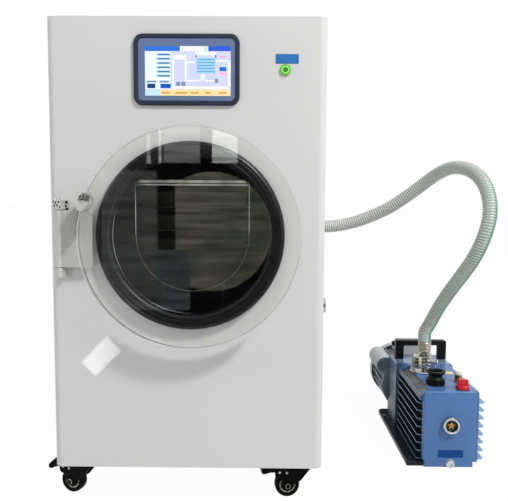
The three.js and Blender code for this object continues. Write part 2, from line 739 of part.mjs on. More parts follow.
function compressor() {
  const r = COMPRESSOR_R;
  const z = BASE_Z + PAN_T + GAP;
  const h = COMPRESSOR_H;
  const shell = turned([
    [0, 12], [r - 14, 12], [r, 30], [r, h * 0.5], [r + 5, h * 0.5], [r + 5, h * 0.5 + 8], [r, h * 0.5 + 8],
    [r, h - 55], [r - 18, h - 15], [0, h],
  ], 'z', [...COMPRESSOR_AT, z], 18);
  const [x, y] = COMPRESSOR_AT;
  const foot = box(x - r - 12, x + r + 12, y - 60, y + 60, z + 8, z + 14);
  const pads = [];
  for (const dx of [-1, 1]) {
    for (const dy of [-1, 1]) pads.push(rod(12, 9, 'z', [x + dx * r, y + dy * 46, z], 12));
  }
  return union(shell, foot, pads);
}

const FAN_Y = CABINET_D - SHEET - 8 - FAN_DEPTH;

// Fin block with the fan ring and a spider that carries the fan shaft.
function condenser() {
  const x0 = CONDENSER_X - CONDENSER_W / 2;
  const x1 = CONDENSER_X + CONDENSER_W / 2;
  const z0 = BASE_Z + PAN_T + GAP;
  const core = box(x0, x1, FAN_Y - CONDENSER_D, FAN_Y, z0, z0 + CONDENSER_H + 30);
  const ringOuter = rod(FAN_R + 10, FAN_DEPTH, 'y', [CONDENSER_X, FAN_Y, FAN_Z], 32);
  const ringBore = rod(FAN_R + 5, FAN_DEPTH + 1, 'y', [CONDENSER_X, FAN_Y, FAN_Z], 32);
  const shaft = rod(FAN_SHAFT_R, FAN_DEPTH - 4, 'y', [CONDENSER_X, FAN_Y - 1, FAN_Z], 12);
  return union(core, cut(ringOuter, ringBore), shaft);
}

// Hub and pitched blades, built about the origin along +Y.
function fanWheel(radius, hub, depth, blades, chord) {
  const body = [rod(hub, depth, 'y', [0, 0, 0], 16)];
  for (let i = 0; i < blades; i += 1) {
    const geometry = new THREE.BoxGeometry(chord, 2, radius - hub + 4);
    geometry.rotateZ(THREE.MathUtils.degToRad(28));
    geometry.translate(0, depth / 2, (radius + hub) / 2 - 2);
    geometry.rotateY((i * 2 * Math.PI) / blades);
    body.push(solid(geometry));
  }
  return union(body);
}

function condenserFan() {
  const bore = rod(FAN_SHAFT_R + GAP, 40, 'y', [0, -1, 0], 12);
  const wheel = fanWheel(FAN_R, 24, 20, 5, 34);
  return cut(wheel, bore).translate([CONDENSER_X, FAN_Y + 8, FAN_Z]);
}

add('compressor', compressor(), blackPaint);
add('condenser', condenser(), galvanised);
add('condenser_fan', condenserFan(), blackPlastic);

// ---------- fittings through the right side and the back ----------

// Pipe from the back of the drum to a flanged spigot on the right side.
function vacuumPort() {
  const backY = SHEET + CHAMBER_DEPTH + CHAMBER_DISH + 2 * GAP;
  const path = new THREE.CatmullRomCurve3([
    new THREE.Vector3(CHAMBER_X, backY, CHAMBER_Z),
    new THREE.Vector3(CHAMBER_X, backY + 50, CHAMBER_Z),
    new THREE.Vector3(CHAMBER_X + 30, PORT_Y - 20, CHAMBER_Z - 8),
    new THREE.Vector3(CHAMBER_X + 90, PORT_Y, PORT_Z),
    new THREE.Vector3(HALF_W - 60, PORT_Y, PORT_Z),
    new THREE.Vector3(HALF_W - 10, PORT_Y, PORT_Z),
  ]);
  const round = outline(arc(0, 0, PORT_R, 0, 315, 7));
  const pipe = solid(new THREE.ExtrudeGeometry(round, { steps: 10, bevelEnabled: false, extrudePath: path }));
  const spigot = turned([
    [0, -20], [PORT_R + 4, -20], [PORT_R + 4, GAP], [26, GAP], [26, 6], [PORT_R + 4, 8], [PORT_R + 4, 16],
    [PORT_R + 5, 18], [PORT_R + 5, PORT_LEN - GAP], [0, PORT_LEN - GAP],
  ], 'x', [HALF_W, PORT_Y, PORT_Z], 24);
  return union(pipe, spigot);
}

function drainValve() {
  const r = DRAIN_R;
  return turned([
    [0, -7], [r, -7], [r, GAP], [r + 6, GAP], [r + 6, 5], [r - 1, 7], [r - 1, 17], [4, 17], [4, 26], [0, 26],
  ], 'x', [HALF_W, DRAIN_Y, DRAIN_Z], 20);
}

function drainKnob() {
  const start = 17 + GAP;
  const end = start + DRAIN_KNOB_T;
  const bore = 4 + GAP;
  return turned([
    [bore, start], [DRAIN_KNOB_R - 1, start], [DRAIN_KNOB_R, start + 1.5], [DRAIN_KNOB_R, end - 1.5],
    [DRAIN_KNOB_R - 1.5, end], [0, end], [0, 26 + GAP], [bore, 26 + GAP], [bore, start],
  ], 'x', [HALF_W, DRAIN_Y, DRAIN_Z], 24);
}

function powerInlet() {
  const [x, z, y] = [INLET_SOCKET_X, INLET_SOCKET_Z, CABINET_D];
  const body = union(box(x - 24, x + 24, y - 30, y + GAP, z - 14, z + 14),
    box(x - 32, x + 32, y + GAP, y + 3, z - 18, z + 18));
  return cut(body, box(x - 19, x + 19, y - 18, y + 5, z - 10, z + 10));
}

add('vacuum_port', vacuumPort(), chrome);
add('drain_valve', drainValve(), stainless);
add('drain_knob', drainKnob(), chrome);
add('power_inlet', powerInlet(), blackPlastic);

// ---------- casters ----------

// A caster is drawn with its kingpin at x = 0, y = 0 and its wheel trailing
// towards -X, then turned about the kingpin and moved to its corner.
const FORK_INNER = WHEEL_W / 2 + 1.5;
const FORK_OUTER = FORK_INNER + FORK_T;
const PEDAL_X = -CASTER_TRAIL - 20; // pedal pivot
const PEDAL_Z = FORK_TOP_Z - 19;

function casterFork(braked) {
  const crownZ = FORK_TOP_Z - 6;
  const crown = union(
    rod(RACE_R, 6, 'z', [0, 0, crownZ], 16),
    box(-CASTER_TRAIL - 22, 30, -FORK_OUTER, FORK_OUTER, crownZ, crownZ + 4),
  );
  const pinTop = BASE_Z + PAN_T + GAP;
  const kingpin = union(rod(KINGPIN_R, pinTop + 3 - crownZ, 'z', [0, 0, crownZ], 12),
    rod(KINGPIN_R + 4, 3, 'z', [0, 0, pinTop], 12));
  const legShape = outline([
    [36, FORK_TOP_Z], [-CASTER_TRAIL + 32, WHEEL_R + 12.5], ...arc(-CASTER_TRAIL, WHEEL_R, 9, -20, -160, 4),
    [PEDAL_X + 6, PEDAL_Z - 15], [PEDAL_X - 10, PEDAL_Z - 10], [PEDAL_X - 10, PEDAL_Z + 7],
    [-CASTER_TRAIL - 22, FORK_TOP_Z],
  ].reverse());
  const legs = [-FORK_OUTER, FORK_INNER].map((y) => front(legShape, y, y + FORK_T));
  const axle = rod(AXLE_R, 2 * FORK_OUTER + 8, 'y', [-CASTER_TRAIL, -FORK_OUTER - 4, WHEEL_R], 12);
  const fork = union(crown, kingpin, legs, axle);
  if (!braked) return fork;
  return cut(fork, rod(PEDAL_PIN_R + GAP, 60, 'y', [PEDAL_X, -30, PEDAL_Z], 12));
}

function casterWheel() {
  const r = WHEEL_R;
  const h = WHEEL_W / 2;
  const bore = AXLE_R + GAP;
  return ring([
    [bore, -h], [r - 9, -h + 3], [r - 2, -h], [r, -h + 3], [r, h - 3], [r - 2, h], [r - 9, h - 3], [bore, h],
  ], 'y', [-CASTER_TRAIL, 0, r], 24);
}

// Foot lever of a front caster: pivot pin, short arm and a broad tread that
// slopes down and away from the wheel.
function brakePedal(tilt) {
  const lever = front(outline([
    [5, -3], [5, 3], [-8, 8], [-20, 9], [-20, 2], [-8, -2], [-2, -6],
  ]), -10, 10);
  const tread = front(outline([
    [-13, 14], [-20, 15], [-37, -2], [-38, -8], [-34, -11], [-20, -4], [-13, -3],
  ]), -16, 16);
  const pin = rod(PEDAL_PIN_R, 2 * FORK_OUTER, 'y', [0, -FORK_OUTER, 0], 12);
  return union(lever, tread, pin).rotate([0, tilt, 0]).translate([PEDAL_X, 0, PEDAL_Z]);
}

for (const { name, x, y, swivel, tilt } of CORNERS) {
  const braked = tilt !== undefined;
  const fit = (body) => body.rotate([0, 0, swivel]).translate([x, y, 0]);
  add(`caster_fork_${name}`, fit(casterFork(braked)), blackPaint);
  add(`caster_wheel_${name}`, fit(casterWheel()), blackRubber);
  if (braked) add(`brake_pedal_${name}`, fit(brakePedal(tilt)), blackPaint);
}

// ---------- vacuum pump ----------

function pumpFoot() {
  const y0 = PUMP_FRONT + PLATE_T + GAP;
  const y1 = FOOT_END;
  const r = 18;
  const slab = plan(outline([
    [FOOT_X0, y0], [FOOT_X1, y0], ...arc(FOOT_X1 - r, y1 - r, r, 0, 90, 3), ...arc(FOOT_X0 + r, y1 - r, r, 90, 180, 3),
  ]), 0, FOOT_T);
  const holes = [y0 + 30, y1 - 60].map((y) => rod(3.5, FOOT_T + 2, 'z', [FOOT_X0 + 10, y, -1], 12));
  return cut(slab, holes);
}

// Finned oil case with its front plate; a round groove runs along the
// shoulder at the upper left.
function pumpCase() {
  const y0 = PUMP_FRONT + PLATE_T;
  const foot = FOOT_T + GAP;
  const shoulder = CASE_X0 - 13;
  const body = front(outline([
    [CASE_X0, foot], [CASE_X1, foot], [CASE_X1, PUMP_TOP - 12], [CASE_X1 - 8, PUMP_TOP],
    [CASE_X0 + 14, PUMP_TOP], [shoulder, PUMP_TOP - 16], [shoulder, PUMP_TOP - 26], [CASE_X0, PUMP_TOP - 31],
  ]), y0 - 1, CASE_END);
  const fins = [];
  for (let i = 0; i < FIN_COUNT; i += 1) {
    const z = FIN_Z0 + i * FIN_PITCH;
    fins.push(box(FIN_LEFT, FIN_RIGHT, y0 + FIN_SETBACK, CASE_END, z - FIN_T / 2, z + FIN_T / 2));
  }
  const notch = 5;
  const plate = front(outline([
    [PLATE_X0 + notch, 3], [PLATE_X1 - notch, 3], [PLATE_X1 - notch, 19], [PLATE_X1, 26],
    ...arc(PLATE_X1 - 6, PUMP_TOP - 6, 6, 0, 90, 3), ...arc(PLATE_X0 + 6, PUMP_TOP - 6, 6, 90, 180, 3),
    [PLATE_X0, 26], [PLATE_X0 + notch, 19],
  ]), PUMP_FRONT, y0);
  const groove = new THREE.CapsuleGeometry(8, CASE_END - y0 - 60, 4, 12);
  groove.translate(CASE_X0, (y0 + CASE_END) / 2 - 10, PUMP_TOP - 8);
  return cut(union(body, fins, plate), solid(groove));
}

function pumpBlock() {
  const r = 14;
  const body = front(outline([
    [BLOCK_X0, FOOT_T + GAP], [BLOCK_X1, FOOT_T + GAP], ...arc(BLOCK_X1 - r, PUMP_TOP - r, r, 0, 90, 4),
    ...arc(BLOCK_X0 + 4, PUMP_TOP - 4, 4, 90, 180, 2),
  ]), CASE_END + GAP, BLOCK_END);
  const edge = solid(new THREE.BoxGeometry(BLOCK_X1 - BLOCK_X0 + 20, 14, 14)).rotate([45, 0, 0]);
  return cut(body, edge.translate([(BLOCK_X0 + BLOCK_X1) / 2, BLOCK_END, PUMP_TOP]));
}

function pumpMotor() {
  const points = [];
  const slot = 360 / MOTOR_RIBS;
  for (let i = 0; i < MOTOR_RIBS; i += 1) {
    const a = i * slot;
    points.push(...arc(MOTOR_X, MOTOR_Z, MOTOR_R, a, a + slot * 0.6, 1));
    points.push(...arc(MOTOR_X, MOTOR_Z, RIBS_R, a + slot * 0.7, a + slot * 0.9, 1));
  }
  const frame = front(outline(points), BLOCK_END + 12, MOTOR_END);
  const bell = rod(RIBS_R, 13, 'y', [MOTOR_X, BLOCK_END + GAP, MOTOR_Z], 32);
  const shaft = rod(MOTOR_SHAFT_R, 30, 'y', [MOTOR_X, MOTOR_END - 1, MOTOR_Z], 12);
  return union(frame, bell, shaft);
}

// Pressed cover round the motor's fan, with slots in its end.
function motorCowl() {
  const r = COWL_R;
  const y = MOTOR_END + GAP;
  const cup = ring([
    [r - 2, 0], [r, 0], [r, COWL_LEN - 8], [r - 8, COWL_LEN], [12, COWL_LEN], [12, COWL_LEN - 2],
    [r - 9, COWL_LEN - 2], [r - 2, COWL_LEN - 9],
  ], 'y', [MOTOR_X, y, MOTOR_Z], 24);
  const slots = [];
  for (let i = 0; i < 6; i += 1) {
    const geometry = new THREE.BoxGeometry(10, 20, 42);
    geometry.translate(0, COWL_LEN, 46);
    geometry.rotateY((i * Math.PI) / 3);
    slots.push(place(geometry, 'z', [MOTOR_X, y, MOTOR_Z]));
  }
  return cut(cup, slots);
}

function motorFan() {
  const bore = rod(MOTOR_SHAFT_R + GAP, 40, 'y', [0, -1, 0], 12);
  return cut(fanWheel(MOTOR_R - 6, 16, 20, 6, 22), bore).translate([MOTOR_X, MOTOR_END + 8, MOTOR_Z]);
}

// Canister beside the motor, flat in front and domed behind, hollowed where it
// lies against the ribs and the fan cowl.
function capacitorCover() {
  const length = CAPACITOR_Y[1] - CAPACITOR_Y[0];
  const angle = THREE.MathUtils.degToRad(CAPACITOR_ANGLE);
  const x = MOTOR_X + (RIBS_R + CAPACITOR_OUT) * Math.cos(angle);
  const z = MOTOR_Z + (RIBS_R + CAPACITOR_OUT) * Math.sin(angle);
  const r = CAPACITOR_R;
  const dome = arc(0, length - r, r, 0, 90, 4).map(([across, along]) => [Math.max(across, 0), along]);
  const can = turned([[0, 0], [r - 3, 0], [r, 3], ...dome], 'y', [x, CAPACITOR_Y[0], z], 20);
  const ribs = rod(RIBS_R + 3 * GAP, length, 'y', [MOTOR_X, CAPACITOR_Y[0], MOTOR_Z], 32);
  const cowl = rod(COWL_R + 3 * GAP, COWL_LEN, 'y', [MOTOR_X, MOTOR_END, MOTOR_Z], 32);
  return cut(can, ribs, cowl);
}

// Connection box that sits on the motor's ribs.
function terminalBox() {
  const top = MOTOR_Z + RIBS_R + TERMINAL_RISE;
  const body = union(
    box(...TERMINAL_X, ...TERMINAL_Y, MOTOR_Z, top - 12),
    box(TERMINAL_X[0] - 2, TERMINAL_X[1] + 2, TERMINAL_Y[0] - 2, TERMINAL_Y[1] + 2, top - 13, top),
  );
  return cut(body, rod(RIBS_R + 3 * GAP, MOTOR_END - BLOCK_END, 'y', [MOTOR_X, BLOCK_END, MOTOR_Z], 32));
}

function pumpHandle() {
  const x0 = HANDLE_X - HANDLE_W / 2;
  const x1 = HANDLE_X + HANDLE_W / 2;
  const z0 = PUMP_TOP + GAP;
  const z1 = z0 + HANDLE_H;
  const r = 5;
  return front(outline([
    [x0, z0], [x0 + HANDLE_POST, z0], [x0 + HANDLE_POST, z1 - HANDLE_BAR], [x1 - HANDLE_POST, z1 - HANDLE_BAR],
    [x1 - HANDLE_POST, z0], [x1, z0], ...arc(x1 - r, z1 - r, r, 0, 90, 3), ...arc(x0 + r, z1 - r, r, 90, 180, 3),
  ]), HANDLE_Y - HANDLE_D / 2, HANDLE_Y + HANDLE_D / 2);
}

// Base ring, an octagonal boss, the inlet pipe with its wing screw and the
// ribbed ferrule that the hose ends on.
function inletAdaptor() {
  const z = PUMP_TOP + GAP;
  const at = [INLET_X, INLET_Y, 0];
  const base = turned([[0, z], [36, z], [38, z + 1.5], [35, z + 5], [0, z + 5]], 'z', at, 28);
  const boss = turned([[0, z + 4], [15, z + 4], [15, z + 44], [11, z + 50], [0, z + 50]],
    'z', [INLET_X - 20, INLET_Y - 6, 0], 8);
  const ferruleZ = z + 57;
  const pipe = rod(8, ferruleZ - z, 'z', [INLET_X + 5, INLET_Y, z + 1], 16);
  const ribs = [[0, ferruleZ], [18, ferruleZ]];
  for (let i = 0; i < 3; i += 1) ribs.push([18, ferruleZ + 6 + i * 8], [16, ferruleZ + 8 + i * 8]);
  const top = PUMP_TOP + INLET_H;
  ribs.push([18, top - 2], [16, top - GAP], [0, top - GAP]);
  const screw = rod(4, 34, 'x', [INLET_X, INLET_Y - 4, z + 24], 12);
  const wing = box(INLET_X + 31, INLET_X + 37, INLET_Y - 14, INLET_Y + 8, z + 14, z + 34);
  return union(base, boss, pipe, turned(ribs, 'z', at, 20), screw, wing);
}

// Open-topped cap with a waist and a flared rim.
function exhaustCap() {
  const z = PUMP_TOP + GAP;
  return turned([
    [0, z], [24.5, z], [24.5, z + 15], [18, z + 21], [19, z + 27], [25.5, z + 32], [25.5, z + 37],
    [19, z + 37], [17, z + 25], [0, z + 25],
  ], 'z', [...EXHAUST_AT, 0], 24);
}

function ballastKnob() {
  const z = PUMP_TOP + GAP;
  const skirt = turned([[0, z], [17.5, z], [17.5, z + 4], [13, z + 9], [12, z + 14], [0, z + 14]],
    'z', [...BALLAST_AT, 0], 20);
  const [x, y] = BALLAST_AT;
  return union(skirt, box(x - 13, x + 13, y - 5, y + 5, z + 8, z + 26));
}

function reliefValve() {
  const z = PUMP_TOP + GAP;
  return turned([[0, z], [12, z], [12, z + 4], [10, z + 5], [10, z + 24], [8, z + 28], [0, z + 28]],
    'z', [...RELIEF_AT, 0], 16);
}

function sightGlass() {
  const back = PUMP_FRONT - GAP;
  return turned([
    [0, -4], [SIGHT_R - 8, -4], [SIGHT_R - 6, -12], [SIGHT_R - 2, -12], [SIGHT_R, -9], [SIGHT_R, 0], [0, 0],
  ], 'y', [SIGHT_X, back, SIGHT_Z], 28);
}

function drainPlug() {
  const back = PUMP_FRONT - GAP;
  const collar = rod(DRAIN_PLUG_R + 1, 3, 'y', [SIGHT_X, back - 3, DRAIN_PLUG_Z], 20);
  const head = rod(DRAIN_PLUG_R, 9, 'y', [SIGHT_X, back - 11, DRAIN_PLUG_Z], 20);
  return union(collar, head);
}

add('pump_foot', pumpFoot(), footBlue);
add('pump_case', pumpCase(), pumpBlue);
add('pump_block', pumpBlock(), pumpBlue);
add('pump_motor', pumpMotor(), motorGrey);
add('motor_cowl', motorCowl(), motorGrey);
add('motor_fan', motorFan(), blackPlastic);
add('terminal_box', terminalBox(), motorGrey);
add('capacitor_cover', capacitorCover(), motorGrey);
add('pump_handle', pumpHandle(), blackPlastic);
add('inlet_adaptor', inletAdaptor(), chrome);
add('exhaust_cap', exhaustCap(), blackPlastic);
add('ballast_knob', ballastKnob(), redPlastic);
add('relief_valve', reliefValve(), brass);
add('sight_glass', sightGlass(), chrome);
add('drain_plug', drainPlug(), chrome);

// ---------- hose ----------

function vacuumHose() {
  const route = new THREE.CatmullRomCurve3(HOSE_POINTS.map((p) => new THREE.Vector3(...p)), false, 'centripetal');
  const last = 360 - 360 / HOSE_SIDES;
  const round = outline(arc(0, 0, HOSE_D / 2, 0, last, HOSE_SIDES - 1));
  return solid(new THREE.ExtrudeGeometry(round, { steps: HOSE_STEPS, bevelEnabled: false, extrudePath: route }));
}

// The origin is the middle of the footprint on the floor, hose left out.
const span = new THREE.Box3().setFromObject(group);
const middle = span.getCenter(new THREE.Vector3());
add('vacuum_hose', vacuumHose(), clearPvc);
group.position.set(-middle.x, -middle.y, -span.min.z);

export default group;
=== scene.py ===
"""Freeze dryer with its vacuum pump: the visible pieces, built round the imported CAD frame."""

import math

import bmesh
import bpy
from bpy.props import FloatProperty, FloatVectorProperty, IntProperty, PointerProperty
from mathutils import Matrix, Vector


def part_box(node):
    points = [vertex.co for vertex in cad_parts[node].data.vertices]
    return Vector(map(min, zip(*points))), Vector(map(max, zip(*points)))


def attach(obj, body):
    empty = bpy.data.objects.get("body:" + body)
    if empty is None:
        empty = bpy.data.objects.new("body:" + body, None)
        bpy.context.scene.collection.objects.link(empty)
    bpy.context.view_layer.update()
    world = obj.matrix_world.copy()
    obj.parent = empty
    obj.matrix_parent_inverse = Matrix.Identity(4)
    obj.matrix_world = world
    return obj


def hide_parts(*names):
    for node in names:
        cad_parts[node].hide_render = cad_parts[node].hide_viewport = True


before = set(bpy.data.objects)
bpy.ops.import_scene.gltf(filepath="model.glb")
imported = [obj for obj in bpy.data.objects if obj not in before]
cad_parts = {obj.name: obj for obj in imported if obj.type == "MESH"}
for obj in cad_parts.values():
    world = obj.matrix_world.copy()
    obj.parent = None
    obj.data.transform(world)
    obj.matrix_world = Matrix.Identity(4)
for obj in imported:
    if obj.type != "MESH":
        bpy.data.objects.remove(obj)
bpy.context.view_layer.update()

bl_info = {
    "name": "Freeze dryer builder",
    "version": (1, 0, 0),
    "blender": (4, 5, 0),
    "location": "3D View > Sidebar > Freeze dryer",
    "description": "Builds a freeze dryer, its vacuum hose and its rotary-vane pump",
    "category": "Add Mesh",
}

MM = 0.001
PANEL_LOW, PANEL_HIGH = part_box("front_panel")
# Pieces are drawn in millimetres from the foot line of the cabinet's front face.
DRAWING = Matrix.Translation(((PANEL_LOW.x + PANEL_HIGH.x) / 2, PANEL_LOW.y, 0)) @ Matrix.Scale(MM, 4)
BACK_TO_DRAWING = DRAWING.inverted()
AXES = {
    "x": lambda a, b, along: (along, a, b),
    "y": lambda a, b, along: (a, along, b),
    "z": lambda a, b, along: (a, b, along),
}


def place(x, y, z):
    """A drawing point as a place in the frame, in metres."""
    return DRAWING @ Vector((x, y, z))


class Span:
    """A CAD node's box in drawing millimetres: x0 to x1, y0 to y1, z0 to z1, its middle and half width r."""

    def __init__(self, node):
        low, high = (BACK_TO_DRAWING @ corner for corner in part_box(node))
        self.x0, self.y0, self.z0 = low
        self.x1, self.y1, self.z1 = high
        self.cx, self.cy, self.cz = (low + high) / 2
        self.r = (self.x1 - self.x0) / 2


def linear(red, green, blue):
    """A display colour, 0 to 255, as linear values."""
    shares = (channel / 255 for channel in (red, green, blue))
    return tuple(c / 12.92 if c <= 0.04045 else ((c + 0.055) / 1.055) ** 2.4 for c in shares)


def colour(name, description, *display):
    return FloatVectorProperty(name=name, description=description, subtype="COLOR", size=3, min=0, max=1,
                               default=linear(*display))


def length(name, description, value, low=0.0, high=3.0):
    return FloatProperty(name=name, description=description, subtype="DISTANCE", unit="LENGTH", default=value,
                         min=low, max=high)


# ---------- settings a user may change ----------


class CabinetLook(bpy.types.PropertyGroup):
    paint: colour("Paint", "Satin powder coat of the cabinet", 213, 213, 211)
    gasket: colour("Gasket", "Rubber ring behind the clear door", 9, 10, 13)
    # Painted shade: both steels are set dark for the unlit inside of the chamber.
    steel: colour("Chamber steel", "Brushed steel of the drum, dull and dark inside", 62, 62, 60)
    rack: colour("Rack steel", "Brushed steel of the rack and trays", 38, 37, 34)
    label: colour("Label", "Blank label over the power button", 40, 112, 182)
    edge_radius: length("Edge radius", "Radius of the upright front edges", 0.018, 0.004, 0.05)
    edge_steps: IntProperty(name="Edge steps", description="Facets in each front edge", default=10, min=3,
                            max=24)


class DoorLook(bpy.types.PropertyGroup):
    acrylic: colour("Acrylic", "Tint of the clear disc", 255, 255, 254)
    bevel: length("Edge bevel", "Polished bevel round the disc", 0.0015, 0.0002, 0.006)
    hinge: colour("Hinge", "Satin finish of the hinge leaf", 196, 197, 193)


class HoseLook(bpy.types.PropertyGroup):
    diameter: length("Diameter", "Outside diameter of the hose", 0.0365, 0.01, 0.08)
    pitch: length("Coil pitch", "Distance between turns of the wire in the wall", 0.0068, 0.003, 0.02)
    rise: length("Coil rise", "How far each turn stands proud", 0.0009, 0.0, 0.003)
    wall: colour("Wall", "Clear vinyl over the wire", 214, 216, 211)
    valley: colour("Valley", "Shade between the turns of the wire", 122, 124, 118)
    stripe: colour("Stripe", "Tracer line along the hose", 84, 142, 112)


class PumpLook(bpy.types.PropertyGroup):
    blue: colour("Blue enamel", "Front plate and top of the pump", 76, 118, 172)
    # Painted shade: this darker blue stands for the shade on the casting's left side, its underside and
    # between the fins.
    shade: colour("Shaded casting", "Sides of the casting between the fins", 24, 40, 54)
    foot: colour("Foot", "Enamel of the foot plate", 16, 22, 25)
    grey: colour("Motor grey", "Enamel of the motor and its boxes", 186, 191, 192)
    red: colour("Knob", "Moulded gas-ballast knob", 196, 10, 34)
    fin_edge: length("Fin rounding", "Rounding of the edges of each fin", 0.0009, 0.0001, 0.0014)


class StudioLook(bpy.types.PropertyGroup):
    ambient: FloatProperty(name="Ambient", description="Strength of the even light", default=0.42, min=0,
                           max=2)
    key: FloatProperty(name="Key light", description="Power of the soft lamp", default=210, min=0, max=500,
                       unit="POWER")
    floor: colour("Floor", "Pale floor", 226, 226, 226)


SETTINGS = {
    "dryer_cabinet": CabinetLook, "dryer_door": DoorLook, "dryer_hose": HoseLook,
    "dryer_pump": PumpLook, "dryer_studio": StudioLook,
}


def look(name):
    return getattr(bpy.context.scene, "dryer_" + name)


# ---------- shared shading effects ----------


class Weaver:
    """Short hand for adding and joining nodes in one tree."""

    def __init__(self, tree):
        self.tree = tree

    def put(self, socket, value):
        """Joins a socket to another, or sets it to a constant."""
        if isinstance(value, bpy.types.NodeSocket):
            self.tree.links.new(value, socket)
        else:
            socket.default_value = value

    def add(self, kind, **values):
        """A node. A lower-case key is a setting, inN is a socket by number and any other key one by name."""
        node = self.tree.nodes.new(kind)
        for key, value in values.items():
            if key.startswith("in") and key[2:].isdigit():
                self.put(node.inputs[int(key[2:])], value)
            elif key[0].islower():
                setattr(node, key, value)
            else:
                self.put(node.inputs[key.replace("_", " ")], value)
        return node

    def math(self, operation, a, b=0.0, clamp=False):
        return self.add("ShaderNodeMath", operation=operation, use_clamp=clamp, in0=a, in1=b).outputs[0]

    def mix(self, factor, a, b):
        return self.add("ShaderNodeMix", data_type="RGBA", in0=factor, in6=a, in7=b).outputs[2]

    def ramp(self, value, low, high, to_low=0.0, to_high=1.0):
        return self.add("ShaderNodeMapRange", Value=value, From_Min=low, From_Max=high, To_Min=to_low,
                        To_Max=to_high).outputs[0]

    def noise(self, scale, stretch, detail=2.0):
        where = self.add("ShaderNodeTexCoord").outputs["Object"]
        drawn = self.add("ShaderNodeVectorMath", operation="MULTIPLY", in0=where, in1=stretch).outputs[0]
        return self.add("ShaderNodeTexNoise", Vector=drawn, Scale=scale, Detail=detail).outputs["Fac"]

    def paths(self):
        return self.add("ShaderNodeLightPath").outputs

    def surface(self, mask, first, second, output="Material Output"):
        """Shows the first shader where the mask is 0 and the second where it is 1."""
        blend = self.add("ShaderNodeMixShader", Fac=mask, in1=first, in2=second)
        self.put(self.tree.nodes[output].inputs["Surface"], blend.outputs[0])


def new_group(name, inputs, outputs):
    """A shader group as its weaver and its sockets on both sides; inputs are (name, type, default)."""
    group = bpy.data.node_groups.new(name, "ShaderNodeTree")
    for label, kind, value in inputs:
        socket = group.interface.new_socket(name=label, in_out="INPUT", socket_type="NodeSocket" + kind)
        socket.default_value = value
    for label, kind in outputs:
        group.interface.new_socket(name=label, in_out="OUTPUT", socket_type="NodeSocket" + kind)
    w = Weaver(group)
    return w, w.add("NodeGroupInput").outputs, w.add("NodeGroupOutput").inputs


def build_patina():
    """Slow drifts of colour and roughness, as handling and uneven coating leave."""
    w, given, out = new_group(
        "Patina",
        [("Colour", "Color", (1, 1, 1, 1)), ("Drift", "Color", (1, 1, 1, 1)), ("Amount", "Float", 0.5),
         ("Scale", "Float", 8.0), ("Stretch", "Vector", (1, 1, 1)), ("Roughness", "Float", 0.5),
         ("Spread", "Float", 0.1)],
        [("Color", "Color"), ("Roughness", "Float")],
    )
    cloud = w.noise(given["Scale"], given["Stretch"], 4.0)
    mask = w.math("MULTIPLY", w.ramp(cloud, 0.36, 0.66), given["Amount"])
    w.put(out["Color"], w.mix(mask, given["Colour"], given["Drift"]))
    offset = w.math("MULTIPLY", w.math("SUBTRACT", cloud, 0.5), given["Spread"])
    w.put(out["Roughness"], w.math("ADD", given["Roughness"], offset, clamp=True))
    return w.tree


def build_grain():
    """Fine relief: orange peel, brush lines or casting skin, by how the noise is stretched."""
    w, given, out = new_group(
        "Grain",
        [("Scale", "Float", 300.0), ("Stretch", "Vector", (1, 1, 1)), ("Depth", "Float", 1.0)],
        [("Height", "Float")],
    )
    fine = w.noise(given["Scale"], given["Stretch"], 3.0)
    w.put(out["Height"], w.math("MULTIPLY", fine, given["Depth"]))
    return w.tree


def build_height_fade():
    """A mask that runs from 0 at a low level to 1 at a high one, broken up a little."""
    w, given, out = new_group(
        "Height fade",
        [("Low", "Float", 0.0), ("High", "Float", 1.0), ("Ragged", "Float", 0.02)],
        [("Mask", "Float")],
    )
    where = w.add("ShaderNodeTexCoord").outputs["Object"]
    level = w.add("ShaderNodeSeparateXYZ", Vector=where).outputs["Z"]
    rag = w.math("MULTIPLY", w.math("SUBTRACT", w.noise(60.0, (1, 1, 1)), 0.5), given["Ragged"])
    w.put(out["Mask"], w.ramp(w.math("ADD", level, rag), given["Low"], given["High"]))
    return w.tree


MAKERS = {"Patina": build_patina, "Grain": build_grain, "Height fade": build_height_fade}
GROUPS = {}


def shared(name):
    if name not in GROUPS:
        GROUPS[name] = MAKERS[name]()
    return GROUPS[name]


# ---------- finishes ----------

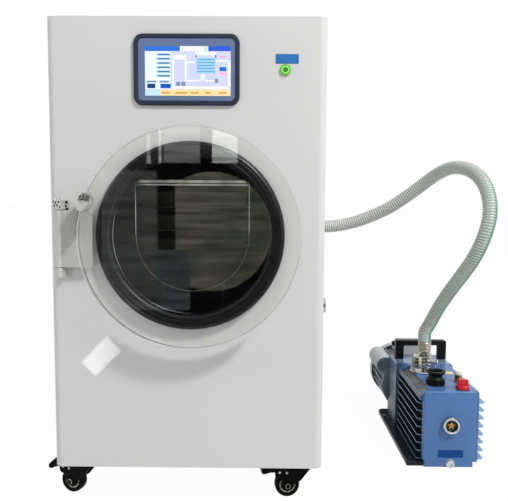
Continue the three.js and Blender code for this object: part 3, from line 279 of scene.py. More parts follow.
# Columns: base colour, drift, share of drift, patch scale, roughness, its spread, grain scale and relief in
# metres, then what else differs from a plain coat. A base in words is a setting, and a drift in one number is
# a share of the base.
RECIPES = {
    "White powder coat": ("cabinet.paint", 0.955, 0.6, 2.2, 0.46, 0.12, 1500, 0.00006, {"specular": 0.32}),
    # The drum and rack steels are darkened: painted shade inside the chamber.
    "Drum steel": ("cabinet.steel", 0.6, 0.6, 5, 0.3, 0.2, 300, 0.00003,
                   {"metallic": 1, "stretch": (1, 0.04, 1)}),
    "Rack steel": ("cabinet.rack", 0.75, 0.5, 7, 0.3, 0.15, 300, 0.00003,
                   {"metallic": 1, "stretch": (1, 0.03, 1)}),
    "Satin steel": ("door.hinge", 0.8, 0.6, 20, 0.34, 0.2, 300, 0.00003,
                    {"metallic": 0.15, "stretch": (0.05, 1, 1)}),
    "Bright chrome": ((206, 208, 210), (170, 172, 176), 0.5, 30, 0.12, 0.1, 300, 0.00001, {"metallic": 1}),
    "Galvanised sheet": ((170, 174, 177), (140, 145, 150), 0.9, 45, 0.42, 0.25, 160, 0.00008,
                         {"metallic": 0.85}),
    "Rolled copper": ((184, 116, 76), (120, 70, 44), 0.8, 18, 0.36, 0.1, 400, 0.0001, {"metallic": 1}),
    "Insulation foam": ((214, 198, 140), (180, 160, 100), 0.8, 20, 0.9, 0.1, 260, 0.0006, {"specular": 0.1}),
    "Black rubber": ("cabinet.gasket", 2, 0.5, 30, 0.34, 0.2, 260, 0.00002, {"specular": 0.3}),
    "Black moulding": ((9, 11, 14), (18, 20, 24), 0.6, 24, 0.4, 0.15, 1100, 0.00008, {"specular": 0.14}),
    "Black enamel": ((3, 3, 3), (12, 12, 11), 0.5, 30, 0.4, 0.2, 700, 0.0001, {"specular": 0.06}),
    "Tyre rubber": ((4, 4, 4), (16, 15, 14), 0.5, 60, 0.62, 0.2, 900, 0.0002, {"specular": 0.08}),
    "Warm zinc plate": ((190, 188, 174), (120, 120, 108), 0.5, 90, 0.35, 0.15, 500, 0.00004,
                        {"metallic": 0.6}),
    # The rack's rolled edge comes in a lit copy and a shaded copy: painted highlight on its upper half,
    # painted shade on its lower half.
    "Bright rolled edge": ((225, 228, 222), (120, 122, 118), 0.9, 26, 0.3, 0.2, 500, 0.00004,
                           {"metallic": 0.3}),
    "Dull rolled edge": ((96, 98, 92), (30, 31, 28), 0.9, 40, 0.4, 0.2, 400, 0, {"metallic": 0.3}),
    # The faces of the door pass most lamplight; its turned rim bends most of it away on the far side.
    "Clear acrylic": ("door.acrylic", 0.98, 0.5, 6, 0.012, 0.01, 400, 0, {"passes": 0.93}),
    "Far acrylic edge": ("door.acrylic", 0.94, 0.5, 30, 0.03, 0.02, 400, 0, {"passes": 0.1}),
    "Lit acrylic edge": ("door.acrylic", 0.94, 0.5, 30, 0.03, 0.02, 400, 0, {"passes": 0.95}),
    "Clamp enamel": ((200, 202, 197), (150, 152, 147), 0.8, 60, 0.4, 0.2, 500, 0.0001),
    # Black with pale mottling.
    "Worn black enamel": ((26, 26, 24), (150, 150, 143), 1.0, 130, 0.4, 0.2, 400, 0),
    "Grey strap": ((96, 96, 92), (160, 160, 155), 0.9, 40, 0.5, 0.1, 400, 0),
    "Bezel moulding": ((42, 51, 70), (33, 41, 58), 0.6, 9, 0.42, 0.12, 1200, 0.00008, {"specular": 0.25}),
    "Blue label film": ("cabinet.label", 0.85, 0.5, 60, 0.35, 0.1, 900, 0.00003),
    "Wire-wound vinyl": ("hose.wall", 0.86, 0.7, 16, 0.3, 0.15, 400, 0, {"specular": 0.3, "coat": 0.12}),
    "Blue enamel": ("pump.blue", 0.8, 0.5, 14, 0.34, 0.16, 420, 0.00016, {"specular": 0.4}),
    "Shaded casting": ("pump.shade", 0.55, 0.7, 18, 0.5, 0.2, 300, 0.0003, {"specular": 0.15}),
    "Bare channel": ((96, 94, 98), (66, 72, 84), 0.8, 30, 0.4, 0.2, 300, 0.0001),
    # Painted highlight: this pale copy of the fin enamel stands for light on the fins' edges and fronts.
    "Worn fin edges": ((112, 148, 184), (150, 178, 205), 0.8, 40, 0.3, 0.2, 500, 0.00015, {"specular": 0.4}),
    "Lit fin enamel": ((112, 150, 194), (150, 178, 210), 0.5, 30, 0.34, 0.15, 420, 0.00012),
    # The block's sides darken to the foot colour below the fade: painted shade towards the bottom. Its top is
    # a lighter copy: painted light and reflection.
    "Block enamel": ((92, 118, 146), (66, 92, 116), 0.8, 9, 0.36, 0.2, 300, 0.0002,
                     {"specular": 0.3, "foot": (14, 32, 42), "fade": (0.085, 0.135)}),
    "Block top enamel": ((112, 130, 152), (144, 152, 184), 0.7, 12, 0.22, 0.15, 300, 0.0001),
    "Blank plate": ((4, 62, 128), (8, 74, 146), 0.6, 60, 0.5, 0.1, 400, 0, {"specular": 0.2}),
    "Paper tag": ((222, 214, 150), (236, 232, 214), 0.8, 60, 0.5, 0.1, 400, 0),
    "Grey enamel": ("pump.grey", 0.86, 0.6, 15, 0.42, 0.18, 420, 0.00018, {"specular": 0.35}),
    # A darker copy of the motor grey: painted shade on the ribbed frame and in the gap at the capacitor's
    # end.
    "Motor rib enamel": ((118, 130, 136), (84, 96, 98), 0.7, 26, 0.42, 0.2, 420, 0.00018, {"specular": 0.35}),
    "Foot enamel": ("pump.foot", 2.2, 0.4, 24, 0.4, 0.2, 500, 0.00015, {"specular": 0.25}),
    "Red moulding": ("pump.red", 0.7, 0.4, 60, 0.36, 0.15, 900, 0.00008),
    "Warm brass": ((186, 150, 96), (120, 92, 56), 0.6, 60, 0.26, 0.2, 500, 0.00004,
                   {"metallic": 1, "stretch": (1, 1, 0.1)}),
    # Bright nickel with dark blotches.
    "Tarnished nickel": ((214, 214, 206), (124, 120, 108), 1.0, 60, 0.16, 0.15, 400, 0, {"metallic": 1}),
    "Nickel ferrule": ((190, 184, 168), (140, 130, 112), 0.6, 40, 0.3, 0.2, 400, 0.00003, {"metallic": 0.6}),
    "Oil glass": ((8, 12, 20), (20, 26, 38), 0.6, 60, 0.12, 0.05, 100, 0.00001,
                  {"specular": 0.25, "coat": 0.2}),
    "Golden star": ((196, 150, 66), (120, 88, 40), 0.6, 120, 0.35, 0.2, 500, 0.00005, {"metallic": 0.5}),
    "Floor paint": ("studio.floor", 0.99, 0.3, 1, 0.8, 0.05, 60, 0.00005, {"specular": 0.1}),
}

# Tones of the generic picture on the screen.
SCREEN_TONES = {
    "sky": (45, 110, 205), "royal": (45, 90, 210), "white": (236, 240, 244), "mint": (200, 222, 190),
    "paper": (226, 236, 242), "teal": (50, 115, 165), "slate": (100, 140, 180), "azure": (10, 85, 185),
    "navy": (10, 60, 120), "ice": (190, 222, 236), "sand": (250, 215, 160), "ochre": (205, 155, 80),
    "lavender": (200, 205, 235), "pale_sky": (150, 205, 245), "pink": (240, 150, 190),
    "rose": (255, 175, 195), "blue": (20, 105, 200), "pewter": (120, 135, 165),
}
# Printed, lit or moulded fields of one colour: the colour, its glow and its roughness.
FLAT_TONES = {
    "Screen border": ((105, 120, 155), 0.0, 0.25), "Green ring": ((112, 176, 84), 0.16, 0.35),
    "Green light": ((134, 222, 96), 0.35, 0.35), "Button face": ((52, 104, 44), 0.05, 0.35),
    "Button mark": ((120, 168, 88), 0.1, 0.35), "Pale cap": ((206, 206, 200), 0.0, 0.35),
    **{f"Screen {tone}": (display, 0.22, 0.35) for tone, display in SCREEN_TONES.items()},
}
for flat_name, (flat_display, flat_glow, flat_roughness) in FLAT_TONES.items():
    RECIPES[flat_name] = (flat_display, 0.93, 0.6, 40, flat_roughness, 0.05, 1800, 0.00001,
                          {"specular": 0.2, "glow": flat_glow})

SHADER_SOCKETS = {"metallic": "Metallic", "specular": "Specular IOR Level", "coat": "Coat Weight"}
ACRYLIC_IOR = 1.49
GRAIN_DEPTH = 0.5
COAT_ROUGHNESS = 0.08
FADE_RAGGED = 0.012
FINISHES = {}


def rgba(value):
    return (*value[:3], 1.0)


def paint(name):
    """The named material, made once: patina for colour and roughness, grain for relief, a plain shader."""
    if name in FINISHES:
        return FINISHES[name]
    base, drift, amount, patch, roughness, spread, grain, relief, *rest = RECIPES[name]
    extra = rest[0] if rest else {}
    if isinstance(base, str):
        group, setting = base.split(".")
        base = getattr(look(group), setting)
    else:
        base = linear(*base)
    drift = linear(*drift) if isinstance(drift, tuple) else tuple(c * drift for c in base)
    stretch = extra.get("stretch", (1, 1, 1))
    material = FINISHES[name] = bpy.data.materials.new(name)
    material.use_nodes = True
    w = Weaver(material.node_tree)
    shader = w.tree.nodes["Principled BSDF"]
    coat = rgba(base)
    # The fade mixes the darker foot colour in towards the bottom: painted shade.
    if "fade" in extra:
        low, high = extra["fade"]
        mask = w.add("ShaderNodeGroup", node_tree=shared("Height fade"), Low=low, High=high,
                     Ragged=FADE_RAGGED)
        coat = w.mix(mask.outputs["Mask"], rgba(linear(*extra["foot"])), coat)
    patina = w.add("ShaderNodeGroup", node_tree=shared("Patina"), Colour=coat, Drift=rgba(drift),
                   Amount=amount, Scale=patch, Stretch=stretch, Roughness=roughness, Spread=spread)
    if relief:
        fine = w.add("ShaderNodeGroup", node_tree=shared("Grain"), Scale=grain, Stretch=stretch,
                     Depth=GRAIN_DEPTH)
        bump = w.add("ShaderNodeBump", Strength=1.0, Distance=relief, Height=fine.outputs["Height"])
        w.put(shader.inputs["Normal"], bump.outputs["Normal"])
    w.put(shader.inputs["Base Color"], patina.outputs["Color"])
    w.put(shader.inputs["Roughness"], patina.outputs["Roughness"])
    shader.inputs["Coat Roughness"].default_value = COAT_ROUGHNESS
    for key, socket in SHADER_SOCKETS.items():
        if key in extra:
            shader.inputs[socket].default_value = extra[key]
    if extra.get("glow"):
        w.put(shader.inputs["Emission Color"], patina.outputs["Color"])
        shader.inputs["Emission Strength"].default_value = extra["glow"]
    if "passes" in extra:
        shader.inputs["Transmission Weight"].default_value = 1
        shader.inputs["IOR"].default_value = ACRYLIC_IOR
        # A share of the lamps' light, and all even light, goes straight through a clear piece.
        path = w.paths()
        straight = w.math("MAXIMUM", w.math("MULTIPLY", path["Is Shadow Ray"], extra["passes"]),
                          path["Is Diffuse Ray"])
        w.surface(straight, shader.outputs[0], w.add("ShaderNodeBsdfTransparent").outputs[0])
    return material


# ---------- mesh building ----------


def polar(cx, cy, radius, angle):
    return cx + radius * math.cos(angle), cy + radius * math.sin(angle)


def arc(cx, cy, radius, start, end, steps):
    """Points of an arc in degrees, both ends included."""
    angles = [math.radians(start + (end - start) * i / steps) for i in range(steps + 1)]
    return [polar(cx, cy, radius, a) for a in angles]


def round_angles(count, first=0.0):
    """Even angles round a circle, in radians."""
    return [2 * math.pi * i / count + first for i in range(count)]


def dome(radius, base, high, steps):
    """(radius, along) pairs of a quarter ellipse, its tip left out."""
    angles = [math.radians(90 * i / steps) for i in range(steps)]
    return [(radius * math.cos(a), base + high * math.sin(a)) for a in angles]


def rounded(x0, x1, y0, y1, radius, steps=8):
    """A rectangle's outline with round corners."""
    a0, a1, b0, b1 = x0 + radius, x1 - radius, y0 + radius, y1 - radius
    return [*arc(a0, b0, radius, 180, 270, steps), *arc(a1, b0, radius, 270, 360, steps),
            *arc(a1, b1, radius, 0, 90, steps), *arc(a0, b1, radius, 90, 180, steps)]


def sweep(path, radius, sides):
    """Rings of points along a path, without twist; radius may be a function of index and angle."""
    points = [Vector(p) for p in path]
    rings = []
    normal = Vector((0, 0, 1))
    for i, point in enumerate(points):
        tangent = (points[min(i + 1, len(points) - 1)] - points[max(i - 1, 0)]).normalized()
        normal = (normal - tangent * normal.dot(tangent)).normalized()
        side = tangent.cross(normal)
        reach = [radius(i, a) if callable(radius) else radius for a in round_angles(sides)]
        rings.append([point + (normal * math.cos(a) + side * math.sin(a)) * r
                      for a, r in zip(round_angles(sides), reach)])
    return rings


class Form:
    """Collects closed bodies in drawing millimetres, then becomes one piece."""

    def __init__(self):
        self.bm = bmesh.new()

    def skin(self, rings, joined=False, capped=False, material=0):
        """Faces between successive rings of points; a ring of one point closes to a fan."""
        loops = [[self.bm.verts.new(p) for p in ring] for ring in rings]
        faces = []
        for a, b in zip(loops, loops[1:] + loops[:1] if joined else loops[1:]):
            for i in range(max(len(a), len(b))):
                corners = [a[i % len(a)], a[(i + 1) % len(a)], b[(i + 1) % len(b)], b[i % len(b)]]
                faces.append(self.bm.faces.new(list(dict.fromkeys(corners))))
        if capped:
            faces += [self.bm.faces.new(loop) for loop in (loops[0], loops[-1])]
        for face in faces:
            face.material_index = material
        return self

    def turned(self, profile, axis, centre, sides=64, ring=False):
        """Body of revolution from (radius, along) pairs; the axis runs through the centre point."""
        to = AXES[axis]
        rings = []
        for radius, along in profile:
            angles = round_angles(sides) if radius > 1e-6 else [0.0]
            offsets = [to(radius * math.cos(a), radius * math.sin(a), along) for a in angles]
            rings.append([tuple(c + d for c, d in zip(centre, offset)) for offset in offsets])
        return self.skin(rings, joined=ring)

    def bar(self, radius, low, high, axis, centre, sides=32, edge=0.0):
        """Solid round bar between two levels, with an optional turned edge."""
        profile = [(0, low), (radius - edge, low), (radius, low + edge), (radius, high - edge),
                   (radius - edge, high), (0, high)]
        if not edge:
            profile = [(0, low), (radius, low), (radius, high), (0, high)]
        return self.turned(profile, axis, centre, sides)

    def hexagon(self, radius, low, high, axis, centre):
        return self.bar(radius, low, high, axis, centre, 6, edge=min(0.6, radius * 0.12))

    def collar(self, bore, radius, low, high, edge, axis, centre, sides):
        """A ring with its outer edges eased."""
        return self.turned([(bore, low), (radius - edge, low), (radius, low + edge), (radius, high - edge),
                            (radius - edge, high), (bore, high)], axis, centre, sides, ring=True)

    def prism(self, outline, axis, low, high, material=0):
        """An outline pushed along an axis. Outlines are (x, z) along y, (x, y) along z and (y, z) along x."""
        to = AXES[axis]
        return self.skin([[to(a, b, level) for a, b in outline] for level in (low, high)], capped=True,
                         material=material)

    def nested(self, outline, steps, **how):
        """Rings of outline(inset) at successive depths; steps are (inset, y)."""
        return self.skin([[(x, y, z) for x, z in outline(inset)] for inset, y in steps], **how)

    def box(self, x0, x1, y0, y1, z0, z1, material=0):
        return self.prism([(x0, y0), (x1, y0), (x1, y1), (x0, y1)], "z", z0, z1, material)

    def add(self, other):
        """Takes in another form's bodies."""
        mesh = other.mesh("part")
        self.bm.from_mesh(mesh)
        bpy.data.meshes.remove(mesh)
        return self

    def turn(self, matrix):
        bmesh.ops.transform(self.bm, matrix=matrix, verts=self.bm.verts)
        return self

    def mesh(self, name):
        bmesh.ops.recalc_face_normals(self.bm, faces=self.bm.faces)
        mesh = bpy.data.meshes.new(name)
        self.bm.to_mesh(mesh)
        self.bm.free()
        return mesh

    def into(self, name, finishes, slot, replaces="", body="cabinet", bevel=0.0, segments=2, smooth=32,
             cuts=()):
        """Makes the piece: carved, rounded, shaded, riding on its body."""
        obj = bpy.data.objects.new(name, self.mesh(name))
        bpy.context.scene.collection.objects.link(obj)
        for finish in [finishes] if isinstance(finishes, str) else finishes:
            obj.data.materials.append(paint(finish))
        for cut in cuts:
            carve(obj, cut)
        mesh = obj.data
        mesh.transform(DRAWING)
        mesh.polygons.foreach_set("use_smooth", [True] * len(mesh.polygons))
        mesh.set_sharp_from_angle(angle=math.radians(smooth))
        if bevel:
            ease(obj, "Rounded edges", bevel, segments, smooth, True)
        declare(obj, body, replaces)
        return obj


def ease(obj, name, width, segments, angle, harden):
    """Rounds an object's edges with a modifier, its width in millimetres."""
    edge = obj.modifiers.new(name, "BEVEL")
    edge.width, edge.segments = width * MM, segments
    edge.limit_method, edge.angle_limit = "ANGLE", math.radians(angle)
    edge.harden_normals = harden


def declare(obj, body, replaces):
    """Parents the piece to its body's empty and hides the CAD node that it replaces."""
    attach(obj, body)
    if replaces:
        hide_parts(replaces)


def carve(obj, form):
    """Takes a form's volume out of a piece that isn't yet in the frame's units."""
    cutter = bpy.data.objects.new("cutter", form.mesh("cutter"))
    bpy.context.scene.collection.objects.link(cutter)
    boolean = obj.modifiers.new("cut", "BOOLEAN")
    boolean.operation, boolean.solver, boolean.object = "DIFFERENCE", "EXACT", cutter
    graph = bpy.context.evaluated_depsgraph_get()
    obj.data = bpy.data.meshes.new_from_object(obj.evaluated_get(graph))
    obj.modifiers.clear()
    bpy.data.objects.remove(cutter)


def repaint(obj, choose):
    """Gives each face the finish whose number choose(face) returns."""
    for face in obj.data.polygons:
        face.material_index = choose(face)


def dress(node, finish, bevel=0.0):
    """Finishes a CAD node as it is, with its edges eased by a modifier."""
    obj = bpy.data.objects[node]
    obj.data.materials.clear()
    obj.data.materials.append(paint(finish))
    if bevel:
        ease(obj, "Eased edges", bevel, 2, 40, False)
    return obj


# ---------- places shared by several pieces ----------

PANEL, GASKET, DISC, ARM = Span("front_panel"), Span("door_gasket"), Span("door_disc"), Span("door_arm")
BRACKET, SCREEN, BUTTON = Span("hinge_bracket"), Span("screen_glass"), Span("power_button")
CASE, BLOCK, MOTOR = Span("pump_case"), Span("pump_block"), Span("pump_motor")

DRUM_BORE = 177
DRUM_MID = (GASKET.cx, 0, GASKET.cz)
GASKET_BORE = GASKET.r - 33.5
DISC_MID = (DISC.cx, 0, DISC.cz)
HINGE_X, HINGE_Y = BRACKET.x0 + 9.5, -15
KNUCKLE_BORE, KNUCKLE_R, KNUCKLE_EDGE = 5, 9.5, 0.8
BUTTON_AT = (BUTTON.cx, 0, BUTTON.cz)
BUTTON_HOLE_R, WINDOW_HALF_W, WINDOW_HALF_H = 10.3, 95, 56
CUT_FRONT, CUT_BACK = -3, 6
PLAY = 0.3
PORT_Y, PORT_Z = 560, 603
INLET_X, INLET_Y = 626, 404
PLATE_X0, PLATE_X1, PLATE_T = 579, 714, 14
PUMP_FRONT, PUMP_TOP = CASE.y0, CASE.z1

# Route of the hose in metres, port to pump, as the tube in the frame follows it.
HOSE_ROUTE = [
    (0.335, 0.560, 0.603), (0.362, 0.560, 0.603), (0.397, 0.556, 0.607), (0.448, 0.543, 0.620),
    (0.497, 0.521, 0.641), (0.541, 0.496, 0.666), (0.580, 0.471, 0.696), (0.617, 0.446, 0.728),
    (0.650, 0.414, 0.758), (0.679, 0.370, 0.774), (0.705, 0.322, 0.768), (0.724, 0.276, 0.743),
    (0.733, 0.240, 0.702), (0.731, 0.218, 0.650), (0.717, 0.214, 0.596), (0.701, 0.231, 0.545),
    (0.688, 0.266, 0.503), (0.679, 0.308, 0.467), (0.668, 0.348, 0.428), (0.654, 0.380, 0.385),
    (0.638, 0.399, 0.340), (0.626, 0.404, 0.314), (0.626, 0.404, 0.288),
]
HOSE_SIDES = 30
STATIONS_PER_TURN = 7


# ---------- stage: camera, floor and lamps ----------

CAMERA_AT = (158.1, -1409.7, 705.2)
CAMERA_LENS, CAMERA_SENSOR, CAMERA_REACH = 46.063, 36, 50
CAMERA_DOWN, CAMERA_LEFT, CAMERA_ROLL = 5.13, 0.52, 0.32

FLOOR_REACH, FLOOR_LEVEL = 30, -0.0005
FLOOR_WHITE = 0.97
ROOM_TINT = (0.97, 0.985, 1, 1)

# Each lamp stands at the first place and points at the second.
KEY_LAMP = (2850, -2175, 4250), (100, 200, 500)
FILL_LAMP = (-2600, -900, 2300), (-100, 200, 450)
GLINT_LAMP = (-281, -520, 426), (-192, 0, 341)
KEY_SIZE, FILL_SIZE, FILL_SHARE = 0.7, 1.6, 0.1
GLINT_POWER, GLINT_W, GLINT_H, GLINT_SPREAD, GLINT_TURN = 0.0052, 0.042, 0.08, 0.02, -44

# A wall with windows far in front of the door, seen only in gloss: left, right, low, high, how far it stands
# off the wall, and its tone.
WALL_Y, RUG_NEAR_Y = -2500, -500
WALL = {
    "wall": (-1500, 900, 0, 1500, 0, (0.03, 0.03, 0.03)),
    "pane_left": (-407, -194, 872, 1420, 4, (1.1, 1.15, 1.1)),
    "pane_right": (-124, 24, 873, 1420, 4, (3.6, 3.8, 3.6)),
    "pane_slit": (-505, -485, 868, 1420, 4, (2.4, 2.4, 2.4)),
    "pane_bar": (-436, -421, 868, 1420, 4, (3.2, 3.2, 3.2)),
    "blind": (-777, -448, 2, 829, 3, (0.36, 0.39, 0.36)),
    "cupboard": (-448, -255, 2, 362, 3, (0.3, 0.37, 0.38)),
    "bench": (-330, 80, 290, 740, 2, (0.8, 0.74, 0.57)),
    "rug": (-1500, 900, 1, 1, 0, (0.02, 0.025, 0.03)),
}
# The bench is a round field, flat at its left, that drifts to a second tone.
BENCH_MID, BENCH_R, BENCH_LEFT = (-125, 471), 352, -341
BENCH_SECOND_TONE = (0.36, 0.44, 0.3)


def in_scene(name, data):
    """An object holding this data, linked to the scene."""
    obj = bpy.data.objects.new(name, data)
    bpy.context.scene.collection.objects.link(obj)
    return obj


class DRYER_OT_camera(bpy.types.Operator):
    """Stands the camera a little right of the cabinet's middle, above the door, looking slightly down"""

    bl_idname = "dryer.camera"
    bl_label = "Camera"

    def execute(self, context):
        data = bpy.data.cameras.new("Camera")
        data.sensor_width, data.lens, data.clip_end = CAMERA_SENSOR, CAMERA_LENS, CAMERA_REACH
        down, left, roll = (math.radians(angle) for angle in (CAMERA_DOWN, CAMERA_LEFT, CAMERA_ROLL))
        forward = Vector((-math.sin(left) * math.cos(down), math.cos(left) * math.cos(down), -math.sin(down)))
        right = Vector((math.cos(left), math.sin(left), 0))
        up = right.cross(forward)
        tilted = math.cos(roll) * right + math.sin(roll) * up
        upright = math.cos(roll) * up - math.sin(roll) * right
        turned = Matrix((tilted, upright, -forward)).transposed().to_4x4()
        camera = in_scene("Camera", data)
        camera.matrix_world = Matrix.Translation(place(*CAMERA_AT)) @ turned
        context.scene.camera = camera
        return {"FINISHED"}


def white_to_the_eye(tree, lit, white, share, output):
    """Mixes a white shader in, by that share, for what camera, glossy and clear-glass rays see."""
    w = Weaver(tree)
    path = w.paths()
    mirrored = w.math("MAXIMUM", path["Is Glossy Ray"], path["Is Transmission Ray"])
    seen = w.math("MAXIMUM", path["Is Camera Ray"], mirrored)
    direct = w.math("LESS_THAN", path["Diffuse Depth"], 0.5)
    plain = w.add(white, Color=(1, 1, 1, 1), Strength=1.0)
    mask = w.math("MULTIPLY", w.math("MULTIPLY", seen, direct), share)
    w.surface(mask, lit.outputs[0], plain.outputs[0], output)


def lamp(name, at, towards, power, size, spread=math.pi):
    data = bpy.data.lights.new(name, "AREA")
    data.energy, data.size, data.spread = power, size, spread
    obj = in_scene(name, data)
    obj.location = place(*at)
    obj.rotation_euler = (place(*towards) - obj.location).to_track_quat("-Z", "Y").to_euler()
    obj.visible_transmission = False
    return obj


def card_light(name, tone, other):
    """Light that drifts between two tones, broken into level streaks."""
    material = bpy.data.materials.new("Reflected " + name)
    material.use_nodes = True
    tree = material.node_tree
    tree.nodes.remove(tree.nodes["Principled BSDF"])
    w = Weaver(tree)
    streaks = w.ramp(w.noise(7.0, (0.3, 1, 4), 5.0), 0.32, 0.68)
    drift = w.ramp(w.noise(2.6, (1, 1, 1.4), 2.0), 0.4, 0.6)
    low, high = (w.mix(drift, rgba([c * share for c in tone]), rgba([c * share for c in other]))
                 for share in (0.5, 1.5))
    light = w.add("ShaderNodeEmission", Color=w.mix(streaks, low, high))
    path = w.paths()
    glossy = w.math("MULTIPLY", w.math("GREATER_THAN", path["Glossy Depth"], 0.5),
                    w.math("LESS_THAN", path["Diffuse Depth"], 0.5))
    w.surface(glossy, w.add("ShaderNodeBsdfTransparent").outputs[0], light.outputs[0])
    return material


class DRYER_OT_studio(bpy.types.Operator):
    """Pale floor, even room light, the lamps, and the wall with windows that the door mirrors"""

    bl_idname = "dryer.studio"
    bl_label = "Studio"

    def execute(self, context):
        settings = look("studio")
        self.room(context, settings)
        self.floor()
        lamp("Key", *KEY_LAMP, settings.key, KEY_SIZE)
        lamp("Fill", *FILL_LAMP, settings.key * FILL_SHARE, FILL_SIZE)
        # A slanted patch of light on the panel under the door.
        glint = lamp("Glint", *GLINT_LAMP, GLINT_POWER, GLINT_W, GLINT_SPREAD)
        glint.data.shape, glint.data.size_y = "RECTANGLE", GLINT_H
        glint.rotation_euler.rotate_axis("Z", math.radians(GLINT_TURN))
        self.opposite_wall()
        context.scene.view_settings.view_transform = "Standard"
        return {"FINISHED"}

    @staticmethod
    def room(context, settings):
        world = context.scene.world = bpy.data.worlds.new("Studio")
        world.use_nodes = True
        even = world.node_tree.nodes["Background"]
        even.inputs["Color"].default_value = ROOM_TINT
        even.inputs["Strength"].default_value = settings.ambient
        white_to_the_eye(world.node_tree, even, "ShaderNodeBackground", 1.0, "World Output")

    @staticmethod
    def floor():
        mesh = bpy.data.meshes.new("floor")
        r = FLOOR_REACH
        mesh.from_pydata([(-r, -r, 0), (r, -r, 0), (r, r, 0), (-r, r, 0)], [], [(0, 1, 2, 3)])
        floor = in_scene("floor", mesh)
        floor.location.z = FLOOR_LEVEL
        tree = paint("Floor paint").node_tree
        white_to_the_eye(tree, tree.nodes["Principled BSDF"], "ShaderNodeEmission", FLOOR_WHITE,
                         "Material Output")
        mesh.materials.append(paint("Floor paint"))

    @staticmethod
    def opposite_wall():
        for name, (x0, x1, z0, z1, ahead, tone) in WALL.items():
            mesh = bpy.data.meshes.new(name)
            far = WALL_Y + ahead
            near = RUG_NEAR_Y if name == "rug" else far
            corners = [(x0, far, z0), (x1, far, z0), (x1, near, z1), (x0, near, z1)]
            if name == "bench":
                corners = [(max(x, BENCH_LEFT), far, z) for x, z in arc(*BENCH_MID, BENCH_R, 0, 354, 60)]
            mesh.from_pydata([place(*p) for p in corners], [], [range(len(corners))[::-1]])
            mesh.materials.append(card_light(name, tone, BENCH_SECOND_TONE if name == "bench" else tone))
            card = in_scene(name, mesh)
            card.visible_camera = card.visible_diffuse = card.visible_shadow = False


# ---------- hose ----------


def catmull_rom(points, spacing, steps=40):
    """Points at an even spacing on the centripetal Catmull-Rom curve through a route."""
    ends = [points[0] * 2 - points[1], *points, points[-1] * 2 - points[-2]]
    dense = []
    for p0, p1, p2, p3 in zip(ends, ends[1:], ends[2:], ends[3:]):
        t1 = (p1 - p0).length ** 0.5
        t2 = t1 + (p2 - p1).length ** 0.5
        t3 = t2 + (p3 - p2).length ** 0.5
        for step in range(steps):
            t = t1 + (t2 - t1) * step / steps
            a1 = p0 * ((t1 - t) / t1) + p1 * (t / t1)
            a2 = p1 * ((t2 - t) / (t2 - t1)) + p2 * ((t - t1) / (t2 - t1))
            a3 = p2 * ((t3 - t) / (t3 - t2)) + p3 * ((t - t2) / (t3 - t2))
            b1 = a1 * ((t2 - t) / t2) + a2 * (t / t2)
            b2 = a2 * ((t3 - t) / (t3 - t1)) + a3 * ((t - t1) / (t3 - t1))
            dense.append(b1 * ((t2 - t) / (t2 - t1)) + b2 * ((t - t1) / (t2 - t1)))
    dense.append(points[-1])
    along = [0.0]
    for a, b in zip(dense, dense[1:]):
        along.append(along[-1] + (b - a).length)
    count = round(along[-1] / spacing)
    even, k = [], 0
    for i in range(count + 1):
        s = along[-1] * i / count
        while k < len(along) - 2 and along[k + 1] < s:
            k += 1
        share = (s - along[k]) / max(along[k + 1] - along[k], 1e-12)
        even.append(dense[k].lerp(dense[k + 1], share))
    return even


def coil_dip(station, angle):
    """0 on the crest of a turn of the wire and 1 in the valley between two turns."""
    return 0.5 - 0.5 * math.cos(2 * math.pi * station / STATIONS_PER_TURN - angle)


